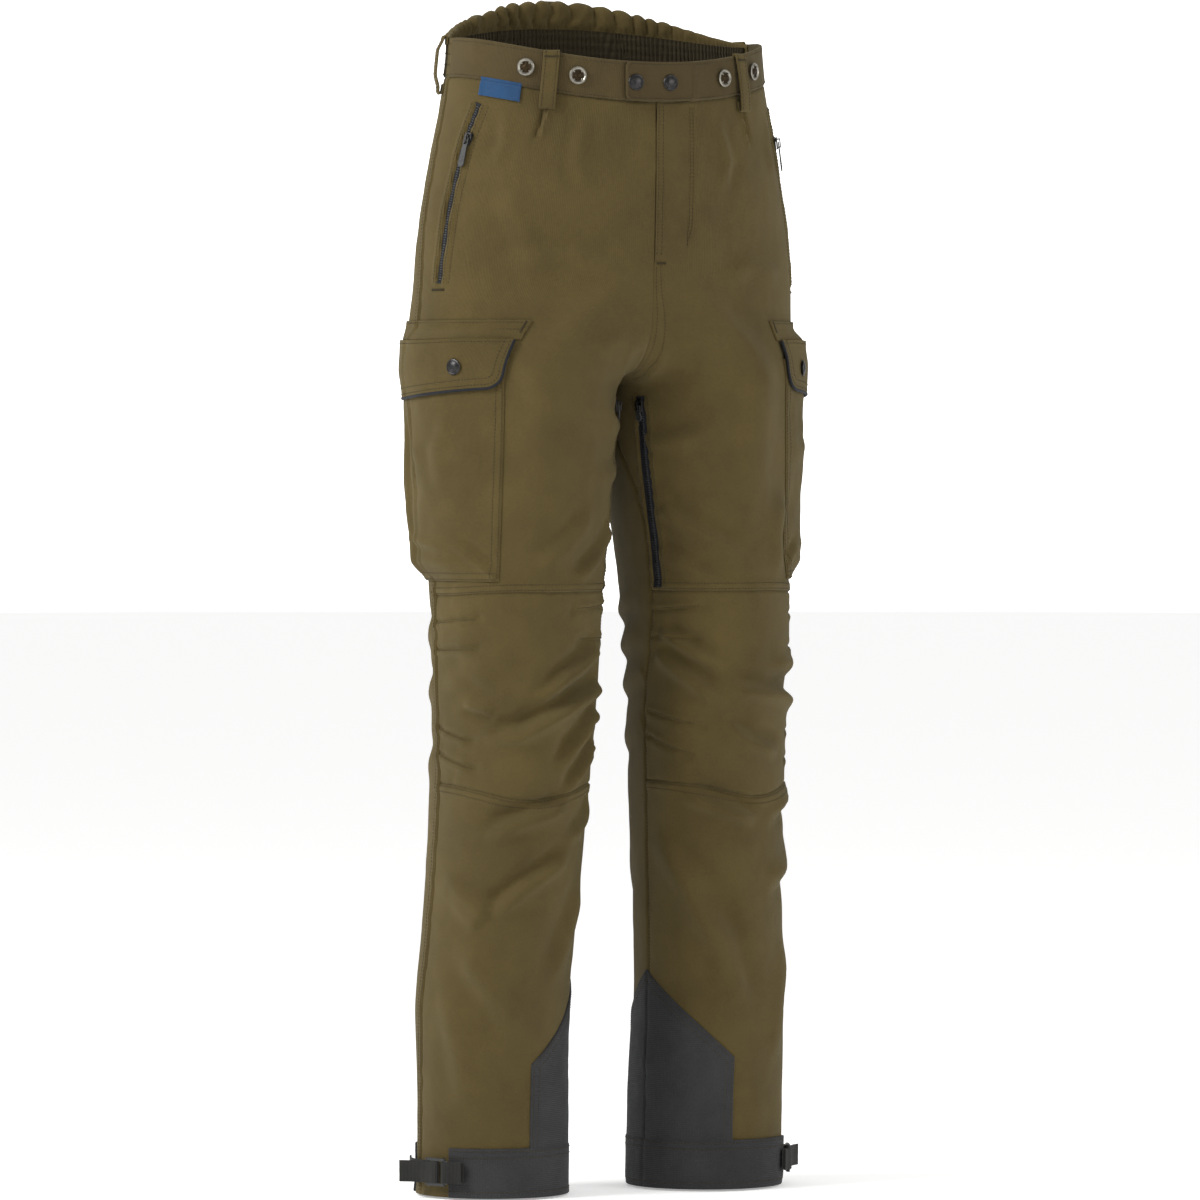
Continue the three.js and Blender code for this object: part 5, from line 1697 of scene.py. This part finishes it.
@dataclass
class CargoPocket:
    """The bellows pocket on the outside of the thigh with its buttoned flap.

    Attributes:
        side: the leg.
        low: height of its bottom seam.
        mouth: height of its open edge, under the flap.
        hinge: height of the fold where the flap starts.
        strip: height of the top of the sewn strip.
        back: angle of its back edge.
        deep: how far its full part stands off the leg.
        strip_share: share of that fullness in the strip over its mouth.
        flap_edge: angle of the flap's front edge, on the right leg.
        flap_back: angle of the flap's back edge.
    """

    side: Side
    low: float = 571.0
    mouth: float = 777.0
    hinge: float = 794.0
    strip: float = 812.0
    back: float = 124.0
    deep: float = 13.5
    strip_share: float = 0.85
    flap_edge: float = 33.8
    flap_back: float = 125.0

    @property
    def turn(self) -> float:
        """How far this leg's pocket sits further round than the other's."""
        return 0.0 if self.side is Side.RIGHT else 8.0

    def front(self, z: Array) -> Array:
        """Angle of the pocket's front edge."""
        return self.turn + mix(37.5, 33.0, np.clip((np.asarray(z, float) - 574) / 176, 0, 1))

    def across_rise(self, angle: Array, z: Array) -> Array:
        """The pocket's fullness round the leg: from its front seam to its middle, falling to the back near its top."""
        lean = 1 - 0.85 * smooth(z, 660, 760) * smooth(angle, 80, 112)
        return smooth(angle, self.front(z) + 1, 79) * (1 - smooth(angle, 117, self.back + 0.5)) * lean

    def rise(self, angle: Array, z: Array) -> Array:
        """How far the pocket's face stands off the cloth: flat at its front seam, full at its back, with creases."""
        front = self.front(z)
        side_way = self.across_rise(angle, z)
        up = smooth(z, self.low - 2, self.low + 20) * (1 - 0.5 * smooth(z, 784, 812))
        out = 1.9 + self.deep * side_way * up
        out += 0.9 * (smooth(angle, front, front + 1.2) - 1) + 0.8 * (smooth(z, self.low, self.low + 1.5) - 1)
        return out + self.creases(angle, z) * smooth(angle, front, front + 5)

    def creases(self, angle: Array, z: Array) -> Array:
        """The corner creases, the bellows ridge and small wrinkles."""
        shape = angle.shape
        flat_angle, flat_z = np.ravel(angle), np.ravel(z)
        out = np.zeros(flat_angle.shape)
        speed = arc_speed(flat_angle, flat_z)
        for fold in (Fold(((38, 574), (67.5, 610)), 2.8, 4.5, 0.9, (0.05, 0.4)),
                     Fold(((106.5, 612), (66, 602)), 2.2, 5, 0.8, (0.1, 0.4)),
                     Fold(((103, 572), (106, 640), (104, 740)), 2.6, 5, 0.9, (0.05, 0.2)),
                     Fold(((60, 735), (72, 690), (70, 650)), 1.8, 8, 0.5),
                     Fold(((92, 720), (84, 660), (88, 620)), 1.6, 9, 0.5),
                     Fold(((46, 700), (58, 690), (80, 700)), 1.4, 7, 0.5)):
            fold.add_to(out, flat_angle, flat_z, speed)
        points = skin(flat_angle, flat_z) * np.array([self.side.value, 1, 1])
        out += 0.9 * noise(points, (26, 26, 34), 91) + 0.35 * noise(points, (10, 10, 12), 92)
        ripple = line_noise(flat_z, 8.0, 93 + self.side.value) * bell((flat_angle - self.front(flat_z)) * 1.4 - 5, 7)
        return (out + 0.7 * ripple).reshape(shape)

    def build(self) -> None:
        """Builds the pocket, its strip, the flap with piping, and the snap."""
        self.pocket()
        self.flap()

    def pocket(self) -> None:
        """The pocket's face, and the sewn strip and fold over its mouth."""
        node = f"cargo_pocket_{self.side.word}"
        u = lattice(130, 2.2, 0.8, 7)
        v = lattice(206, 2.4, 0.9, 8)
        angle, z = panel_grid(self.front, constant(self.back), constant(self.low), constant(self.mouth), u, v)
        out = self.rise(angle, z)
        outer = GARMENT.cloth(self.side, angle, z, out)
        inner = GARMENT.cloth(self.side, angle, z, np.maximum(out - 1.7, 0.15))
        face = shell(outer, inner, flat_map(angle, z))
        u = lattice(130, 2.2, 0.8, 6)
        v = lattice(24, 1.3, 0.6, 3)
        angle, z = panel_grid(constant(31.5 + self.turn), constant(self.back + 0.5), constant(self.hinge),
                              constant(self.strip), u, v)
        puff = self.deep * self.strip_share * self.across_rise(angle, z)
        out = 2.0 + (puff * (1 - smooth(z, self.hinge - 2, self.strip - 5)) + rim_soften(angle.shape, 0.5)
                     + 0.5 * line_noise(angle * 1.5, 14, 95))
        outer = GARMENT.cloth(self.side, angle, z, out)
        inner = GARMENT.cloth(self.side, angle, z, np.maximum(out - 1.7, 0.15))
        Piece(node + "_cloth", (Look.SHELL, Look.LINING), "shell", "root", (node,)).make(
            face, shell(outer, inner, flat_map(angle, z)))

        def surface(a: Array, h: Array, lift: float = 0.0) -> Array:
            """The pocket's face."""
            return GARMENT.cloth(self.side, a, h, self.rise(a, h) + lift)

        front_line = upright(self.front, self.low + 2, self.mouth, 16)
        for inset in (-1.9, -7.6):
            ROOT_STITCHES.row(surface, front_line, inset)
        for height in (1.9, 7.6):
            ROOT_STITCHES.row(surface, sampled(constant(self.low + height), 39 + self.turn, 122, 16))
        strip = on_cloth(self.side, 2.0)
        for height in (2.2, 8.5):
            ROOT_STITCHES.row(strip, sampled(constant(self.strip - height), 33 + self.turn, 123, 16))
        ROOT_STITCHES.tack(strip, 33.5 + self.turn, self.strip - 6, 2.2, 10)

    def flap_low(self, angle: Array) -> Array:
        """Height of the flap's lower edge: falling to the back, with a rounded front corner."""
        base = mix(749.0, 741.0, smooth(angle, 36, 100))
        corner = 13.0
        near = np.clip(1 - (np.asarray(angle, float) - self.turn - self.flap_edge) * 1.35 / corner, 0, 1)
        return base + corner * (1 - np.sqrt(1 - near**2))

    def flap_out(self, angle: Array, z: Array) -> Array:
        """The flap's face: over the pocket's, with its own bow."""
        bow = 1.2 * noise(skin(angle, z) * np.array([self.side.value, 1, 1]), (30, 30, 24), 96)
        hinge_out = 2.0 + self.deep * self.strip_share * self.across_rise(angle, z)
        creases = self.creases(angle, z) * smooth(angle, self.front(z), self.front(z) + 5)
        pocket = self.rise(angle, np.minimum(z, self.mouth - 2)) - creases
        return mix(pocket + 2.6, hinge_out + 2.4, smooth(z, 772, self.hinge)) + bow * smooth(self.hinge - z, 0, 20)

    def flap(self) -> None:
        """The flap, its piping, stitches and snap, all swinging together."""
        word = self.side.word
        node = f"cargo_flap_{word}"
        u, v = lattice(126, 2.0, 0.8, 6), lattice(48, 1.5, 0.7, 5)
        start = self.flap_edge + self.turn
        angle, z = panel_grid(constant(start), constant(self.flap_back), self.flap_low, constant(self.hinge), u, v)
        out = self.flap_out(angle, z)
        outer = GARMENT.cloth(self.side, angle, z, out)
        inner = GARMENT.cloth(self.side, angle, z, out - 1.7)
        Piece(node + "_cloth", (Look.SHELL, Look.LINING), "shell", node, (node,)).make(
            shell(outer, inner, flat_map(angle, z)))
        edge_a = np.r_[np.full(16, start), np.linspace(start, start + 10, 26)[1:],
                       np.linspace(start + 10, self.flap_back, 90)[1:]]
        edge_z = np.r_[np.linspace(self.hinge - 1, float(self.flap_low(start)), 16), self.flap_low(edge_a[16:])]
        line = relaxed(GARMENT.cloth(self.side, edge_a, edge_z, self.flap_out(edge_a, edge_z) - 0.8), 2)
        piping = swept(line, GARMENT.outward(self.side, edge_a, edge_z), ring(1.5, 10))
        Piece(node + "_piping", (Look.TAPE,), "zip", node).make(piping)
        threads = Stitching()

        def surface(a: Array, h: Array, lift: float = 0.0) -> Array:
            """The flap's face."""
            return GARMENT.cloth(self.side, a, h, self.flap_out(a, h) + lift)

        edge = tuple((float(a), float(h)) for a, h in zip(edge_a, edge_z))
        for distance in (3.6, 9.0):
            threads.row(surface, edge, distance, 0.01, 0.99)
        threads.row(surface, sampled(constant(self.hinge - 3.0), 36 + self.turn, 124, 16))
        threads.make(node + "_stitching", node)
        snap_a, snap_z = np.array(58.0), np.array(768.0)
        pose = Pose.at(surface(snap_a, snap_z, 0.2), [0, 0, 1], GARMENT.outward(self.side, snap_a, snap_z))
        snap = f"flap_snap_{word}"
        Piece(snap + "_cap", (Look.GUNMETAL,), "gunmetal", node, (snap,), 28.0).make(pose.place(snap_cap()))


@dataclass
class HemStrap:
    """The webbing, ladder lock and loose tail at one hem.

    Attributes:
        side: the leg.
        angle: where the lock sits.
        height: its height.
        stand: how far its underside stands off the skin.
        half_width: half the lock's width.
        half_length: half its length.
        webbing: the strap's width.
    """

    side: Side
    angle: float = 66.0
    height: float = 24.0
    stand: float = 6.4
    half_width: float = 13.0
    half_length: float = 12.0
    webbing: float = 20.0

    def pose(self) -> Pose:
        """The lock's place: along runs to the back of the leg."""
        behind, before = (GARMENT.plain(self.side, self.angle + step, self.height) for step in (1, -1))
        return Pose.at(GARMENT.plain(self.side, self.angle, self.height, self.stand), behind - before,
                       GARMENT.outward(self.side, self.angle, self.height))

    def build(self) -> None:
        """Builds the lock and its three lengths of webbing."""
        word = self.side.word
        pose = self.pose()
        w, l = self.half_width, self.half_length
        rails = [bar(-w, -w + 2.8, -l, l, 0, 3.4, 0.9), bar(w - 2.8, w, -l, l, 0, 3.4, 0.9)]
        cross = [bar(-w + 1, w - 1, y, y + 3.2, 0.2, 3.2, 0.7) for y in (-l, -1.8, l - 3.2)]
        lip = [bar(-w + 2, w - 2, -l - 3.6, -l + 0.6, 1.8, 3.6, 0.6)]
        Piece(f"ladder_lock_{word}_moulding", (Look.PLASTIC,), "plastic", "root", (f"ladder_lock_{word}",), 30.0).make(
            *(pose.place(p) for p in rails + cross + lip))
        self._back_strap(pose)
        front = [(-29, -4.6), (-20, -3.2), (-13.5, -1.2), (-9.6, -1.1), (-7.4, 1.4), (-9.6, 4.4), (-13.4, 3.9),
                 (-20, 0.0), (-28, -2.4)]
        loose = [(-4.2, 1.6), (-2.6, 4.0), (1.0, 4.5), (6, 4.2), (16, 5.4), (26, 8.4), (35, 13)]
        tail = f"strap_tail_{word}"
        self._ribbon(f"hem_strap_front_{word}", pose, front, "root", ())
        self._ribbon(tail + "_webbing", pose, loose, tail, (tail,))

    def _spread(self, pose: Pose, points: list[tuple[float, float]], count: int = 80) -> Array:
        """A smooth line through places along and off the lock."""
        p = np.array(points, float)
        t = np.linspace(0, len(p) - 1, count)
        k = np.clip(t.astype(int), 0, len(p) - 2)
        line = relaxed(mix(p[k], p[k + 1], (t - k)[:, None]), 6)
        return pose.origin + line[:, :1] * pose.along + line[:, 1:] * pose.out

    def _profile(self) -> Array:
        """Webbing's outline about its middle."""
        return rounded(self.webbing, 1.5, 0.6) - np.array([0, 0.75])

    def _ribbon(self, name: str, pose: Pose, points: list[tuple[float, float]], body: str,
                stands_for: tuple[str, ...]) -> None:
        """A length of webbing that keeps square to the lock."""
        line = self._spread(pose, points)
        Piece(name, (Look.WEBBING,), "webbing", body, stands_for).make(
            swept(line, np.repeat(pose.across[None], len(line), 0), self._profile()))

    def _back_strap(self, pose: Pose) -> None:
        """The strap sewn behind the ankle, round the lock's rear bar and back on itself."""
        angles = np.linspace(120.4, 80.0, 40)
        laid = GARMENT.plain(self.side, angles, self.height, mix(4.6, self.stand + 0.2, smooth(angles, 120, 84)))
        turn = self._spread(pose, [(15.5, -0.4), (12.6, -1.1), (9.6, -1.2), (7.4, 1.4), (9.8, 4.5), (14, 4.2),
                                   (21, 2.4), (30, 0.4)], 60)
        line = relaxed(np.concatenate([laid, turn]), 3)
        node = f"hem_strap_{self.side.word}"
        Piece(node + "_webbing", (Look.WEBBING,), "webbing", "root", (node,)).make(
            swept(line, np.repeat(pose.across[None], len(line), 0), self._profile()))


@dataclass
class Studio:
    """The pale floor, white surroundings, soft lights and camera.

    Attributes:
        turn: the camera's angle round the trousers, in degrees.
        distance: how far it stands.
        eye: its height in the frame.
        aim: height that it looks at.
        lens: its focal length in millimetres.
        shift: sideways shift of the view.
        radius: reach of the floor and the dome in metres.
        floor: the floor's height, just under the hems.
    """

    turn: float = -25.53
    distance: float = 7.9266
    eye: float = -0.3294
    aim: float = -0.49855
    lens: float = 254.2
    shift: float = -0.0038
    radius: float = 24.0
    floor: float = -1.052

    def build(self) -> None:
        """Builds the room, the lights and the camera."""
        self.room()
        self.lights()
        self.camera()

    @staticmethod
    def _scenery(name: str, points: Array, glow: float) -> bpy.types.Object:
        """A pale surface of the studio from a grid of points."""
        rows, columns = points.shape[:2]
        mesh = bpy.data.meshes.new(name)
        mesh.from_pydata(points.reshape(-1, 3).tolist(), [], grid_quads(rows, columns).tolist())
        mesh.shade_smooth()
        material = bpy.data.materials.new(name + "_paper")
        material.use_nodes = True
        paper = material.node_tree.nodes["Principled BSDF"]
        paper.inputs["Base Color"].default_value = linear("#fbfbfa")
        paper.inputs["Roughness"].default_value = 1.0
        paper.inputs["Emission Color"].default_value = (1, 1, 1, 1)
        paper.inputs["Emission Strength"].default_value = glow
        mesh.materials.append(material)
        thing = bpy.data.objects.new(name, mesh)
        bpy.context.scene.collection.objects.link(thing)
        return thing

    def room(self) -> None:
        """A white floor, and a white dome all round that shows behind the trousers and lights nothing."""
        turn = np.linspace(0, 2 * math.pi, 65)
        floor = np.linspace(0, self.radius, 13)[:, None]
        self._scenery("studio_floor", np.stack([floor * np.cos(turn), floor * np.sin(turn),
                                                np.full((13, 65), self.floor)], -1), 0.35)
        rise = np.linspace(-0.05, math.pi / 2, 20)[:, None]
        dome = np.stack([np.cos(rise) * np.cos(turn), np.cos(rise) * np.sin(turn), np.sin(rise) + 0 * turn], -1)
        shade = self._scenery("studio_dome", dome[::-1] * self.radius, 1.0)
        shade.visible_diffuse = shade.visible_glossy = shade.visible_transmission = shade.visible_shadow = False

    def lights(self) -> None:
        """A bright even room, a large soft key above the camera's left, and a weaker fill from its right."""
        world = bpy.data.worlds.new("soft_room")
        world.use_nodes = True
        world.node_tree.nodes["Background"].inputs[0].default_value = (1, 1, 1, 1)
        world.node_tree.nodes["Background"].inputs[1].default_value = 0.62
        bpy.context.scene.world = world
        bpy.context.scene.view_settings.view_transform = "Standard"
        t = math.radians(self.turn)
        for name, turn, far, up, size, power in (("key", -62, 3.2, 1.7, 1.6, 130), ("fill", 55, 3.6, 0.7, 2.2, 42)):
            light = bpy.data.lights.new(name, "AREA")
            light.size = size
            light.energy = power
            a = t + math.radians(turn)
            thing = bpy.data.objects.new(name, light)
            thing.location = (math.sin(a) * far, -math.cos(a) * far, up)
            thing.rotation_euler = (Vector((0, 0, -0.5)) - Vector(thing.location)).to_track_quat("-Z", "Y").to_euler()
            bpy.context.scene.collection.objects.link(thing)

    def camera(self) -> None:
        """The camera at a long lens, level with the thighs."""
        data = bpy.data.cameras.new("camera")
        data.lens = self.lens
        data.sensor_width = 36.0
        data.shift_x = self.shift
        data.clip_end = 60.0
        thing = bpy.data.objects.new("camera", data)
        t = math.radians(self.turn)
        thing.location = (math.sin(t) * self.distance, -math.cos(t) * self.distance, self.eye)
        thing.rotation_euler = (Vector((0, 0, self.aim)) - Vector(thing.location)).to_track_quat("-Z", "Y").to_euler()
        bpy.context.scene.collection.objects.link(thing)
        bpy.context.scene.camera = thing


def main() -> None:
    """Builds the studio and every sub-assembly in order."""
    logging.basicConfig(level=logging.INFO, format="%(message)s")
    Studio().build()
    for side in Side:
        Leg(side).build()
        SideZips(side).build()
        CargoPocket(side).build()
        HemStrap(side).build()
    WaistBands().build()
    Fly().build()
    ROOT_STITCHES.make("seam_stitching_waist", "root", lambda middle: middle[2] >= STITCH_SPLIT_Z)
    ROOT_STITCHES.make("seam_stitching_right", "root", lambda middle: middle[2] < STITCH_SPLIT_Z and middle[0] < 0)
    ROOT_STITCHES.make("seam_stitching_left", "root", lambda middle: middle[2] < STITCH_SPLIT_Z and middle[0] >= 0)
    bpy.context.view_layer.update()


if __name__ == "__main__":
    main()
